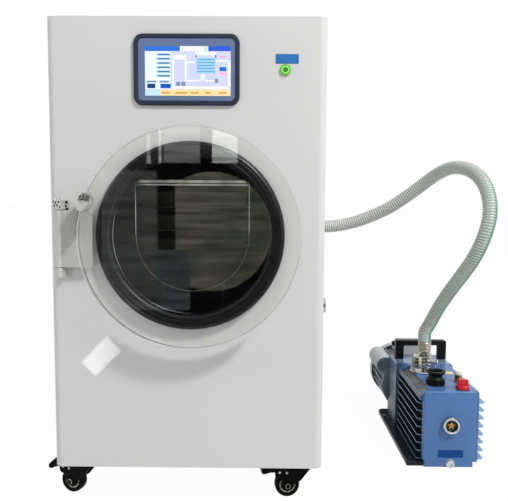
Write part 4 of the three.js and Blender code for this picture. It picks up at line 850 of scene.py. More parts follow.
class DRYER_OT_hose(bpy.types.Operator):
    """Wire-wound clear hose from the port on the cabinet's side to the pump's inlet"""

    bl_idname = "dryer.hose"
    bl_label = "Vacuum hose"

    def execute(self, context):
        settings = look("hose")
        origin = place(0, 0, 0)
        route = [Vector(p) + origin for p in HOSE_ROUTE]
        spine = catmull_rom(route, settings.pitch / STATIONS_PER_TURN)
        radius = settings.diameter / 2
        rings = sweep(spine, lambda i, angle: radius - settings.rise * coil_dip(i, angle) ** 1.5, HOSE_SIDES)
        mesh = Form().skin(rings, capped=True).mesh("wound_hose")
        mesh.polygons.foreach_set("use_smooth", [True] * len(mesh.polygons))
        self.mark(mesh, rings, spine)
        mesh.materials.append(self.vinyl(settings))
        hose = in_scene("wound_hose", mesh)
        declare(hose, "cabinet", "vacuum_hose")
        return {"FINISHED"}

    @staticmethod
    def mark(mesh, rings, spine):
        """Stores where the wall dips between turns, where the tracer line runs and how far down the hose."""
        tracer = Vector((0.88, -0.48, 0))
        middle = int(len(rings) * 0.62)
        facing = [(p - spine[middle]).normalized().dot(tracer) for p in rings[middle]]
        line = 2 * math.pi * facing.index(max(facing)) / HOSE_SIDES
        values = {"valley": [], "stripe": [], "run": []}
        for i in range(len(rings)):
            for angle in round_angles(HOSE_SIDES):
                away = (angle - line + math.pi) % (2 * math.pi) - math.pi
                values["valley"].append(coil_dip(i, angle) ** 2)
                values["stripe"].append(max(0.0, min(1.0, (0.8 - abs(away)) / 0.2)))
                values["run"].append(i / (len(rings) - 1))
        for name, levels in values.items():
            mesh.attributes.new(name, "FLOAT", "POINT").data.foreach_set("value", levels)

    @staticmethod
    def vinyl(settings):
        """Clear wall that greys towards the pump, with shaded valleys and a tracer line on its lower run."""
        material = paint("Wire-wound vinyl")
        w = Weaver(material.node_tree)
        nodes = w.tree.nodes
        patina = next(n for n in nodes if n.type == "GROUP" and n.node_tree.name == "Patina")
        valley, stripe, run = (w.add("ShaderNodeAttribute", attribute_name=name).outputs["Fac"]
                               for name in ("valley", "stripe", "run"))
        # The wall is mixed towards a grey green along its run towards the pump.
        greyed = w.mix(w.ramp(run, 0.2, 0.5, 0.0, 0.55), patina.outputs["Color"], rgba(linear(168, 190, 178)))
        ribbed = w.mix(w.math("MULTIPLY", valley, 0.75), greyed, rgba(settings.valley))
        shown = w.math("MULTIPLY", stripe, w.ramp(run, 0.3, 0.42))
        w.put(nodes["Principled BSDF"].inputs["Base Color"], w.mix(shown, ribbed, rgba(settings.stripe)))
        return material


# ---------- cabinet ----------

# CAD nodes that keep their shape: the finish, the easing of their edges in millimetres, and the nodes.
DRESSED = (
    ("White powder coat", 0.5, ("side_panel_left", "side_panel_right", "top_panel", "rear_panel")),
    ("Galvanised sheet", 0.4, ("chassis", "control_box", "condenser")),
    ("Black enamel", 0.8, ("compressor",)),
    ("Black moulding", 0.5, ("condenser_fan",)),
    ("Black moulding", 0.6, ("power_inlet",)),
    ("Insulation foam", 0, ("foam_jacket",)),
    ("Rolled copper", 0, ("evaporator_sleeve",)),
)


class DRYER_OT_cabinet(bpy.types.Operator):
    """Folded front panel with its openings, and finishes for the panels and frame that the CAD gives"""

    bl_idname = "dryer.cabinet"
    bl_label = "Cabinet shell"

    def execute(self, context):
        self.front_panel(look("cabinet"))
        for finish, bevel, nodes in DRESSED:
            for node in nodes:
                dress(node, finish, bevel)
        return {"FINISHED"}

    @staticmethod
    def front_panel(settings):
        sheet, wrap, x = 2, PANEL.y1, PANEL.x1
        r, steps = settings.edge_radius / MM, settings.edge_steps
        outer = [(-x, wrap), *arc(-x + r, r, r, 180, 270, steps), *arc(x - r, r, r, 270, 360, steps),
                 (x, wrap)]
        xi, ri = x - sheet, r - sheet
        inner = [(xi, wrap), *arc(x - r, r, ri, 360, 270, steps), *arc(-x + r, r, ri, 270, 180, steps),
                 (-xi, wrap)]
        mouth = Form().bar(GASKET.r + PLAY, CUT_FRONT, CUT_BACK, "y", DRUM_MID, 160)
        window = Form().box(-WINDOW_HALF_W, WINDOW_HALF_W, CUT_FRONT, CUT_BACK, SCREEN.cz - WINDOW_HALF_H,
                            SCREEN.cz + WINDOW_HALF_H)
        hole = Form().bar(BUTTON_HOLE_R, CUT_FRONT, CUT_BACK, "y", BUTTON_AT, 40)
        Form().prism(outer + inner, "z", PANEL.z0, PANEL.z1).into(
            "folded_front_panel", "White powder coat", "white_paint", "front_panel", bevel=0.6, smooth=30,
            cuts=[mouth, window, hole])


class DRYER_OT_chamber(bpy.types.Operator):
    """Drum, ribbed door gasket and the rack of shelves and trays inside"""

    bl_idname = "dryer.chamber"
    bl_label = "Drum, gasket and rack"

    def execute(self, context):
        self.drum()
        self.gasket()
        self.rack()
        for i in (1, 2, 3):
            dress(f"shelf_{i}", "Rack steel", 0.6)
            dress(f"tray_{i}", "Rack steel", 0.4)
        return {"FINISHED"}

    @staticmethod
    def drum():
        drum, r, wall = Span("vacuum_chamber"), DRUM_BORE, 3
        start, end = drum.y0, drum.y1 - 25
        bowl = [(r * math.sin(a), end - 9 + 28 * math.cos(a) - 5)
                for a in (math.radians(i * 90 / 10) for i in range(11))]
        inside = [(0, bowl[0][1]), *bowl[1:], (r, start)]
        outside = [(drum.r, start), (drum.r, start + 5), (r + wall, start + 5), (r + wall, end - 4),
                   *[(x * (r + wall) / r, y + 4) for x, y in bowl[::-1][1:-1]], (0, drum.y1)]
        Form().turned(inside + outside, "y", DRUM_MID, 128).into(
            "polished_drum", "Drum steel", "stainless_steel", "vacuum_chamber", bevel=0.6)
        weld = [(r - 3.2, start + 22), (r - 0.2, start + 21), (r - 0.2, start + 25), (r - 2.6, start + 24)]
        Form().turned(weld, "y", DRUM_MID, 128, ring=True).into(
            "drum_weld", "Bright chrome", "stainless_steel")

    @staticmethod
    def gasket():
        """L section with a sealing lip, two shallow channels and a rounded outer shoulder."""
        face, b, r = GASKET.y0, GASKET_BORE, GASKET.r
        lip = [(b, 2), (b, face + 9), (b + 1, face + 5), (b + 3.5, face + 2), (b + 7, face + 0.4)]
        channel = [(b + 10, face), (b + 11, face + 1.6), (b + 13.5, face + 1.6), (b + 14.5, face),
                   (r - 13, face), (r - 12, face + 1.4), (r - 10, face + 1.4), (r - 9, face + 0.3)]
        shoulder = [(r - 5, face + 1.6), (r - 2, face + 4.6), (r - 0.6, face + 8), (r, face + 13), (r, 2)]
        Form().turned(lip + channel + shoulder, "y", DRUM_MID, 192, ring=True).into(
            "lipped_gasket", "Black rubber", "gasket_rubber", "door_gasket", bevel=0.4)

    @staticmethod
    def rack():
        """A round shroud with a flat top on two rails, and the rolled edge at its mouth, lighter above its
        middle and darker below: painted highlight and painted shade.
        """
        rack, sheet = Span("rack_shroud"), 2.5
        r, cx, cz, top, y0, y1 = rack.r, rack.cx, GASKET.cz, rack.z1, rack.y0, rack.y1

        def outline(inset):
            corner = 3.5 - inset * 0.4
            x, z = r - inset, top - inset
            return [*arc(cx - x + corner, z - corner, corner, 90, 180, 4), *arc(cx, cz, x, 180, 360, 48),
                    *arc(cx + x - corner, z - corner, corner, 0, 90, 4)]

        wall = ((0, y0 + 0.8), (0.8, y0), (sheet - 0.6, y0), (sheet, y0 + 0.8), (sheet, y1), (0, y1))
        form = Form().nested(outline, wall, joined=True)
        for side in (-70, 64):
            foot = cz - math.sqrt(DRUM_BORE**2 - (side + 3) ** 2) + 5.5
            form.box(cx + side, cx + side + 6, y0 + 20, y1 - 20, foot, cz - r * 0.82)
        form.into("welded_rack", "Rack steel", "stainless_steel", "rack_shroud", smooth=40)
        lip = Form().nested(outline, ((0.2, y0), (0.6, y0 - 0.8), (1.8, y0 - 0.8), (2.3, y0)), joined=True)
        lip.box(cx - r + 4, cx + r - 4, y0 - 0.9, y0, top - 8, top - 5)
        teeth = 40
        for i in range(teeth):
            x = cx - r + 12 + i * (2 * r - 24) / (teeth - 1)
            lip.box(x - 1.7, x + 1.7, y0 - 0.8, y0 + 1, top - 0.2, top + 4)
        lip.box(cx - r + 9, cx + r - 9, y0, y0 + 0.8, top - 0.2, top + 3)
        edge = lip.into("rack_front_edge", ["Bright rolled edge", "Dull rolled edge"], "stainless_steel",
                        smooth=40)
        middle = place(0, 0, cz).z
        # Faces below the middle take the shaded copy (painted shade); the rest take the lit copy (painted
        # highlight).
        repaint(edge, lambda face: int(face.center.z < middle))


# ---------- door ----------


class DRYER_OT_door(bpy.types.Operator):
    """Clear disc with its hinge, pin, leaf and rim clamp"""

    bl_idname = "dryer.door"
    bl_label = "Clear door and hinge"

    def execute(self, context):
        self.disc(look("door"))
        self.bracket()
        self.pin()
        self.leaf()
        self.clamp()
        self.strap()
        return {"FINISHED"}

    @staticmethod
    def disc(settings):
        c, r, front, back = settings.bevel / MM, DISC.r, DISC.y0, DISC.y1
        edge = [(r - c, front), (r - c * 0.3, front + c * 0.3), (r, front + c), (r, back - c),
                (r - c * 0.3, back - c * 0.3), (r - c, back)]
        obj = Form().turned([(0, front), *edge, (0, back)], "y", DISC_MID, 256).into(
            "clear_disc", ["Clear acrylic", "Far acrylic edge", "Lit acrylic edge"], "clear_acrylic",
            "door_disc", "door", smooth=12)

        def lit_side(face):
            normal = face.normal
            if abs(normal.y) >= 0.9:
                return 0
            return 2 if 0.6 * normal.x + 0.8 * normal.z > 0 or normal.z > -0.78 else 1

        repaint(obj, lit_side)

    @staticmethod
    def bracket():
        """Screwed plate with two rolled knuckles."""
        form = Form().prism(rounded(BRACKET.x0, BRACKET.x1, BRACKET.z0, BRACKET.z1, 4), "y", -5, BRACKET.y1)
        long = 22
        for low in (BRACKET.z0, BRACKET.z1 - long):
            form.collar(KNUCKLE_BORE, KNUCKLE_R, 0, long, KNUCKLE_EDGE, "z", (HINGE_X, HINGE_Y, low), 48)
            form.box(HINGE_X + 5.5, HINGE_X + 14, HINGE_Y + 1, -4.8, low + 0.4, low + long - 0.4)
        form.into("hinge_plate", "Satin steel", "stainless_steel", "hinge_bracket", bevel=0.5)
        screws = Form()
        for x, z in ((20, -4), (26, -6), (17, -13), (24, -14), (27, -20)):
            screws.turned([(0, -5.9), (2.4, -5.9), (2.8, -5.4), (2.8, -4.8), (0, -4.8)], "y",
                          (BRACKET.x0 + x, 0, BRACKET.z1 + z), 20)
        for x, z in ((-6, -4), (-1.5, -7), (4.5, -5), (-4, -13), (2, -12), (6, -16)):
            face = HINGE_Y - math.sqrt(KNUCKLE_R**2 - x * x)
            screws.turned([(0, -0.5), (1.7, -0.5), (2, 0), (2, 1.6), (0, 1.6)], "y",
                          (HINGE_X + x, face, BRACKET.z1 + z), 20)
        screws.into("hinge_screws", "Black enamel", "stainless_steel")

    @staticmethod
    def pin():
        """Round pin with a domed head."""
        pin, r = Span("hinge_pin"), 4.7
        low, high = pin.z0, pin.z1 - 3
        profile = [(0, low), (r - 0.8, low), (r, low + 0.8), (r, high), (r + 3, high), (r + 3, high + 0.6),
                   (r + 2.6, high + 1.6), (r + 1.2, high + 2.6), (0, high + 3)]
        Form().turned(profile, "z", (HINGE_X, HINGE_Y, 0), 40).into(
            "turned_hinge_pin", "Bright chrome", "stainless_steel", "hinge_pin")

    @staticmethod
    def leaf():
        """Barrel round the pin and the flat leaf behind the disc, held by three screws."""
        back = DISC.y1 + 8.3
        form = Form().collar(KNUCKLE_BORE, KNUCKLE_R, 0, ARM.z1 - ARM.z0, KNUCKLE_EDGE, "z",
                             (HINGE_X, HINGE_Y, ARM.z0), 48)
        form.prism(rounded(HINGE_X + 6, ARM.x1, ARM.z0, ARM.z1, 5), "y", DISC.y1 + 0.3, back)
        form.into("hinge_leaf", "Satin steel", "stainless_steel", "door_arm", "door", bevel=0.6)
        screws, head = Form(), [(0, -0.3), (5, -0.3), (4.4, 1.4), (2.6, 2), (0, 2)]
        for z in (ARM.z0 + 22, ARM.cz, ARM.z1 - 22):
            screws.turned(head, "y", (ARM.x1 - 12, back, z), 24)
        screws.into("leaf_screws", "Bright chrome", "stainless_steel", body="door")

    @staticmethod
    def clamp():
        """Clamp over the rim with a mottled head and five studs."""
        clamp = Span("door_clamp")
        x0, x1, top, front, foot = DISC.x0 + 2.1, clamp.x1, clamp.z1, clamp.y0, ARM.z1 + 0.3
        crown = [(x1 - 3, top - 3), (x1 - 7, top), (x0 + 14, top), (x0 + 6, top - 7)]
        outline = [(x0, foot), (x0 + 12, foot), (x1, foot + 14), (x1, top - 8), *crown, (x0, foot + 12)]
        slot = Form().bar(DISC.r + PLAY, DISC.y0 - PLAY, DISC.y1 + PLAY, "y", DISC_MID, 256)
        Form().prism(outline, "y", front + 1.5, clamp.y1).into(
            "rim_clamp", "Clamp enamel", "black_plastic", "door_clamp", "door", bevel=0.9, cuts=[slot])
        head = [(x0 + 5, top - 15), (x1 - 1, top - 17), (x1 - 0.5, top - 8), *crown]
        Form().prism(head, "y", front, front + 2.2).into(
            "clamp_head", "Worn black enamel", "black_plastic", body="door", bevel=0.9)
        studs = Form()
        for dx, dz in ((9, 8), (16, 6), (23, 9), (12, 14), (21, 15)):
            studs.turned([(0, -0.01), (1.9, -0.01), (1.5, 1), (0, 1)], "y", (x0 + dx, front, top - dz), 16)
        studs.into("clamp_studs", "Bright chrome", "black_plastic", body="door")

    @staticmethod
    def strap():
        """Thin strap round the rim, from the middle of the disc's left side up to the clamp."""
        steps, low, r, y0, y1 = 24, 1.4, DISC.r, DISC.y0, DISC.y1
        high = math.degrees(math.asin((ARM.z1 + 6.3 - DISC.cz) / r))
        section = ((r + 0.3, y0 + 0.4), (r + 2.9, y0 + 0.4), (r + 3.4, y0 + 1), (r + 3.4, y1 - 0.4),
                   (r + 0.3, y1 - 0.4))
        angles = [math.radians(180 - low - (high - low) * i / steps) for i in range(steps + 1)]
        rings = [[(reach * math.cos(a) + DISC.cx, y, reach * math.sin(a) + DISC.cz) for reach, y in section]
                 for a in angles]
        Form().skin(rings, capped=True).into("rim_strap", "Grey strap", "black_plastic", body="door")


# ---------- screen and power button ----------

PICTURE_LEFT, PICTURE_TOP = SCREEN.x0 + 14.5, SCREEN.z1 - 16
PICTURE_W, PICTURE_H = 182, 103
LAYER_T = 0.06

# Generic fields of colour: a header, a list of keys, a status line and a plan of vessels and pipes.
# Each is a layer, a tone, left, right, top and bottom, the last four in hundredths of the picture.
SCREEN_FIELDS = [
    (0, "lavender", 0, 100, 0, 100),
    (1, "sky", 0, 41, 0, 10), (1, "white", 41, 69, 0, 10), (1, "mint", 69, 74, 0, 10),
    (1, "royal", 74, 100, 0, 10),
    (1, "paper", 0.5, 30, 11, 87),
    *[key for i in range(6) for key in ((2, "ice", 13, 30, 14 + i * 8.6, 20 + i * 8.6),
                                        (3, "teal", 15, 29, 15.5 + i * 8.6, 18.5 + i * 8.6))],
    (2, "slate", 2, 13, 70, 73.5), (2, "slate", 17, 28, 70, 73.5), (2, "azure", 18, 30, 76, 85),
    (2, "navy", 2.5, 12, 76, 85), (1, "ice", 0.5, 18, 87, 100), (1, "sand", 18, 99.5, 87, 100),
    *[(2, "ochre", u0, u1, 92.5, 96) for u0, u1 in ((19, 29), (35, 49), (53, 63), (70, 77), (86, 95))],
    *[(1, "white", *pipe) for pipe in (
        (32, 34, 18, 80), (46.5, 49, 28, 70), (32, 48, 18, 27), (48.5, 58, 31, 34), (65, 70, 57, 71),
        (46, 82, 68, 71), (97, 100, 28, 87), (83, 100, 28, 31), (31, 100, 81, 86), (59, 83, 11, 18))],
    (1, "pale_sky", 60.5, 82, 23, 55),
    *[(2, "slate", 61, 81.5, 26 + row * 6, 27.6 + row * 6) for row in range(5)],
    (2, "navy", 59, 60.3, 17.5, 23), (2, "navy", 82, 83.3, 17.5, 23),
    (1, "pink", 87, 94, 20, 23), (1, "blue", 87, 95, 42, 50), (1, "rose", 87, 95, 53, 59),
    (2, "pewter", 36.5, 41, 72, 80), (2, "pewter", 42.5, 47, 72, 80), (2, "pewter", 81.5, 85.5, 66, 74),
]


class DRYER_OT_screen(bpy.types.Operator):
    """Touch screen in its moulded bezel, the blank label and the lit power button"""

    bl_idname = "dryer.screen"
    bl_label = "Screen and power button"

    def execute(self, context):
        self.bezel()
        self.picture()
        self.button()
        return {"FINISHED"}

    @staticmethod
    def bezel():
        bezel = Span("screen_bezel")
        radius, rim, front, face = 20, 10, bezel.y0, -0.3

        def outline(inset):
            return rounded(bezel.x0 + inset, bezel.x1 - inset, bezel.z0 + inset, bezel.z1 - inset,
                           max(radius - inset, 2), 12)

        section = ((1.6, face), (0.2, face - 1.2), (0, front + 2.6), (0.6, front + 1), (2.2, front),
                   (rim - 1.6, front), (rim - 0.5, front + 0.8), (rim, front + 3.4), (rim + 6, front + 3.5),
                   (rim + 6, 1.5), (rim + 8.2, 1.5), (rim + 8.2, face))
        Form().nested(outline, section, joined=True).into(
            "screen_surround", "Bezel moulding", "screen_frame", "screen_bezel", smooth=28)

    @staticmethod
    def picture():
        pane = rounded(SCREEN.x0, SCREEN.x1, SCREEN.z0, SCREEN.z1, 9.7)
        Form().prism(pane, "y", SCREEN.y0, SCREEN.y1).into(
            "screen_plate", "Screen border", "screen", "screen_glass", bevel=0.4)
        tones = list(SCREEN_TONES)
        form = Form()
        for layer, tone, u0, u1, v0, v1 in SCREEN_FIELDS:
            front = SCREEN.y0 - LAYER_T * (layer + 1)
            left, right = (PICTURE_LEFT + PICTURE_W * u / 100 for u in (u0, u1))
            high, low = (PICTURE_TOP - PICTURE_H * v / 100 for v in (v0, v1))
            form.box(left, right, front, front + LAYER_T, low, high, material=tones.index(tone))
        form.into("screen_fields", [f"Screen {tone}" for tone in tones], "screen")

    @staticmethod
    def button():
        """Blank label, and the button: a lit ring round a dark face, in its green bush."""
        Form().prism(rounded(189, 238, BUTTON.cz + 13, BUTTON.cz + 33, 1.2, 3), "y", -0.6, -0.02).into(
            "blank_label", "Blue label film", "screen_frame", bevel=0.12)
        bezel, bore = Span("button_bezel"), 8.8
        rim, front = bezel.r, bezel.y0
        bush = [(bore, front + 1), (bore + 0.8, front), (rim - 1.6, front), (rim - 0.4, front + 0.7),
                (rim, front + 2), (rim, -0.3), (10, -0.3), (10, 28), (bore, 28)]
        Form().turned(bush, "y", BUTTON_AT, 64, ring=True).into(
            "button_bush", "Green ring", "chrome", "button_bezel")
        r, long, at = BUTTON.r, BUTTON.y1 - BUTTON.y0, (BUTTON.cx, BUTTON.y0, BUTTON.cz)
        ring = [(0, 0.6), (5.2, 0.6), (5.4, 0.5), (5.8, 0), (7.6, 0), (r - 0.3, 0.3), (r, 0.9), (r, long),
                (0, long)]
        Form().turned(ring, "y", at).into(
            "lit_button", "Green light", "green_light", "power_button", "button")
        cap = [(0, 0.3), (4.9, 0.3), (5.1, 0.45), (5.1, 0.9), (0, 0.9)]
        Form().turned(cap, "y", at, 48).into("button_face", "Button face", "green_light", body="button")
        mark = [(1.9, 0.12), (2.7, 0.12), (2.7, 0.5), (1.9, 0.5)]
        Form().turned(mark, "y", at, 32, ring=True).into(
            "button_mark", "Button mark", "green_light", body="button")


# ---------- fittings on the sides ----------


class DRYER_OT_fittings(bpy.types.Operator):
    """Vacuum port, drain valve and its knob on the right-hand side"""

    bl_idname = "dryer.fittings"
    bl_label = "Port and drain valve"

    def execute(self, context):
        port = dress("vacuum_port", "Bright chrome", 0.6)
        port.data.polygons.foreach_set("use_smooth", [False] * len(port.data.polygons))
        x = PANEL.x1 + 17
        clip = Form().collar(19.2, 22, 0, 10, 0.6, "x", (x, PORT_Y, PORT_Z), 64)
        clip.box(x + 1, x + 9, PORT_Y - 4, PORT_Y + 4, PORT_Z + 20.5, PORT_Z + 27.5)
        clip.into("port_clip", "Bright chrome", "chrome", bevel=0.3)
        self.drain()
        return {"FINISHED"}

    @staticmethod
    def drain():
        valve, knob = Span("drain_valve"), Span("drain_knob")
        cy, cz, x = valve.cy, valve.cz, PANEL.x1
        profile = [(0, -7), (8, -7), (8, 0.3), (14, 0.3), (14, 4.4), (13.4, 5), (8, 5.6), (7, 7), (7, 17),
                   (4, 17), (4, 26), (0, 26)]
        body = Form().turned(profile, "x", (x, cy, cz), 48)
        body.hexagon(10.5, 0, 8, "x", (x + 6, cy, cz))
        body.into("drain_body", "Satin steel", "stainless_steel", "drain_valve")
        start, end, r, bore = knob.x0 - x, knob.x1 - x, (knob.y1 - knob.y0) / 2, 4.3
        shell = [(0, 26.3), (bore, 26.3), (bore, start), (r - 1.6, start), (r - 0.2, start + 1.2),
                 (r - 0.2, end - 1.6), (r - 1.8, end - 0.2), (r - 7, end), (r - 8, end - 1.2), (0, end - 1.2)]
        flutes = Form()
        for a in round_angles(18):
            at = (x + start - 1, *polar(cy, cz, r + 0.5, a))
            flutes.add(Form().bar(1.2, 0, end - start + 2, "x", at, 12))
        Form().turned(shell, "x", (x, cy, cz), 72).into(
            "fluted_drain_knob", "Bright chrome", "chrome", "drain_knob", "drain_knob_body", bevel=0.2,
            cuts=[flutes])


# ---------- casters ----------

# Each caster's place, the turn of its fork and the tilt of its brake pedal in degrees, where it has one.
CORNERS = {
    "front_left": (-251, 60, -20, 0), "front_right": (251, 60, 8, 12),
    "rear_left": (-251, 640, 0, None), "rear_right": (251, 640, 0, None),
}
TRAIL = 27
LEG_IN, LEG_T = 13.5, 3
LEG_OUT = LEG_IN + LEG_T
CROWN_Z, KINGPIN_Z = 75, 91.3
PEDAL_X, PEDAL_Z = -47, 62


class DRYER_OT_casters(bpy.types.Operator):
    """Four swivel casters, the front pair with foot brakes"""

    bl_idname = "dryer.casters"
    bl_label = "Casters"

    def execute(self, context):
        for name, (x, y, swivel, tilt) in CORNERS.items():
            wheel = Span(f"caster_wheel_{name}")
            turn = Matrix.Translation((x, y, 0)) @ Matrix.Rotation(math.radians(swivel), 4, "Z")
            radius = (wheel.z1 - wheel.z0) / 2
            self.fork(name, turn, radius, tilt is not None)
            self.wheel(name, turn, radius)
            if tilt is not None:
                self.pedal(name, turn, tilt)
        return {"FINISHED"}

    @staticmethod
    def fork(name, turn, radius, braked):
        """Pressed fork with its race, kingpin, axle bolt and nuts."""
        form = Form().bar(24, 0, 6, "z", (0, 0, CROWN_Z), 48, edge=1.2)
        form.prism(rounded(-TRAIL - 22, 30, -LEG_OUT, LEG_OUT, 6), "z", CROWN_Z, CROWN_Z + 4)
        form.bar(5, 0, KINGPIN_Z - CROWN_Z - 3, "z", (0, 0, CROWN_Z + 3), 24)
        form.turned([(0, KINGPIN_Z), (9, KINGPIN_Z), (9, 93), (6.5, 94.3), (0, 94.3)], "z", (0, 0, 0), 24)
        leg = [(36, CROWN_Z + 5), (-TRAIL + 31, radius + 12), *arc(-TRAIL, radius, 11.5, 0, -175, 12),
               (-TRAIL - 15, radius + 15), (-53, 47), (-57, 52), (-57, 69), (-TRAIL - 22, CROWN_Z + 5)]
        for y in (-LEG_OUT, LEG_IN):
            form.prism(leg, "y", y, y + LEG_T)
        form.bar(5, 0, 2 * LEG_OUT + 8, "y", (-TRAIL, -LEG_OUT - 4, radius), 24, edge=0.6)
        bores = [Form().bar(3.3, 0, 60, "y", (PEDAL_X, -30, PEDAL_Z), 20).turn(turn)] if braked else []
        form.turn(turn).into(f"swivel_fork_{name}", "Black enamel", "black_paint", f"caster_fork_{name}",
                             f"swivel_{name}", bevel=0.7, cuts=bores)
        nuts = Form()
        for y in (-LEG_OUT - 3.4, LEG_OUT):
            nuts.hexagon(6.4, 0, 3.4, "y", (-TRAIL, y, radius))
        for x, z in ((PEDAL_X, PEDAL_Z), (-30, 60)):
            nuts.turned([(0, 0), (3.4, 0), (2.8, -1.3), (0, -1.7)], "y", (x, -LEG_OUT, z), 20)
        nuts.turn(turn).into(f"axle_nuts_{name}", "Warm zinc plate", "black_paint", body=f"swivel_{name}")

    @staticmethod
    def wheel(name, turn, r):
        """Tyre with a crowned tread, and a dished hub with a bright rim and five webs."""
        half, bore, at, body = 12, 5.3, (-TRAIL, 0, r), f"wheel_{name}"

        def mirrored(side):
            """A profile from its left half: the same points again from the other side."""
            return [*side, *[(radius, -along) for radius, along in side[::-1]]]

        tread = [(r - 8.5, -half + 3), (r - 3.5, -half + 0.2), (r - 1.4, -half + 1.2), (r - 0.4, -half + 4),
                 (r, 0), (r - 0.4, half - 4), (r - 1.4, half - 1.2), (r - 3.5, half - 0.2),
                 (r - 8.5, half - 3)]
        Form().turned(tread, "y", at, 72, ring=True).turn(turn).into(
            f"tyre_{name}", "Tyre rubber", "tyre_rubber", f"caster_wheel_{name}", body)
        dish = mirrored([(bore, -half + 0.3), (9, -half + 0.3), (9.6, -half + 3), (r - 11, -half + 4.6),
                         (r - 8.6, -half + 3.1)])
        hub = Form().turned(dish, "y", at, 64, ring=True)
        for a in round_angles(5, 0.3):
            spin = Matrix.Translation(at) @ Matrix.Rotation(a, 4, "Y") @ Matrix.Translation([-c for c in at])
            web = Form().box(-TRAIL + 8, -TRAIL + r - 9.5, -half + 2.6, half - 2.6, r - 1.4, r + 1.4)
            hub.add(web.turn(spin))
        hub.turn(turn).into(f"hub_{name}", "Black moulding", "tyre_rubber", body=body)
        rim = mirrored([(15.4, -half + 3.4), (17.6, -half + 2.4), (18.2, -half + 2.7)])
        Form().turned(rim, "y", at, 64, ring=True).turn(turn).into(
            f"hub_rim_{name}", "Warm zinc plate", "tyre_rubber", body=body)

    @staticmethod
    def pedal(name, turn, tilt):
        """Foot lever on its pin, with a ribbed rounded tread."""
        form = Form().prism([(5, -3), (5, 3), (-8, 8), (-20, 9), (-20, 2), (-8, -2), (-2, -6)], "y", -10, 10)
        form.prism([(-11, 16), (-16, 18.5), (-21, 17), (-39, 1), (-41.5, -3), (-41, -8), (-37, -11),
                    (-32, -9.6), (-20, -4), (-13, -3)], "y", -16, 16)
        form.bar(3, 0, 33, "y", (0, -16.5, 0), 24, edge=0.5)
        tip = Matrix.Translation((PEDAL_X, 0, PEDAL_Z)) @ Matrix.Rotation(math.radians(tilt), 4, "Y")
        form.turn(turn @ tip).into(f"brake_lever_{name}", "Black enamel", "black_paint",
                                   f"brake_pedal_{name}", f"pedal_{name}", bevel=1.6, segments=3)


# ---------- vacuum pump ----------

BODY_X0, BODY_X1, SHOULDER_X = 585, 724, 572
FIN_PITCH, FIN_T, FIN_FIRST, FIN_COUNT, FIN_BEND = 21.3, 3, 14.5, 8, 7
MOTOR_RIB, MOTOR_RIBS = 8, 20
# Fan slots in the cowl: inner radius, outer radius and how many.
COWL_SLOTS = ((26, 42, 8), (50, 66, 14))


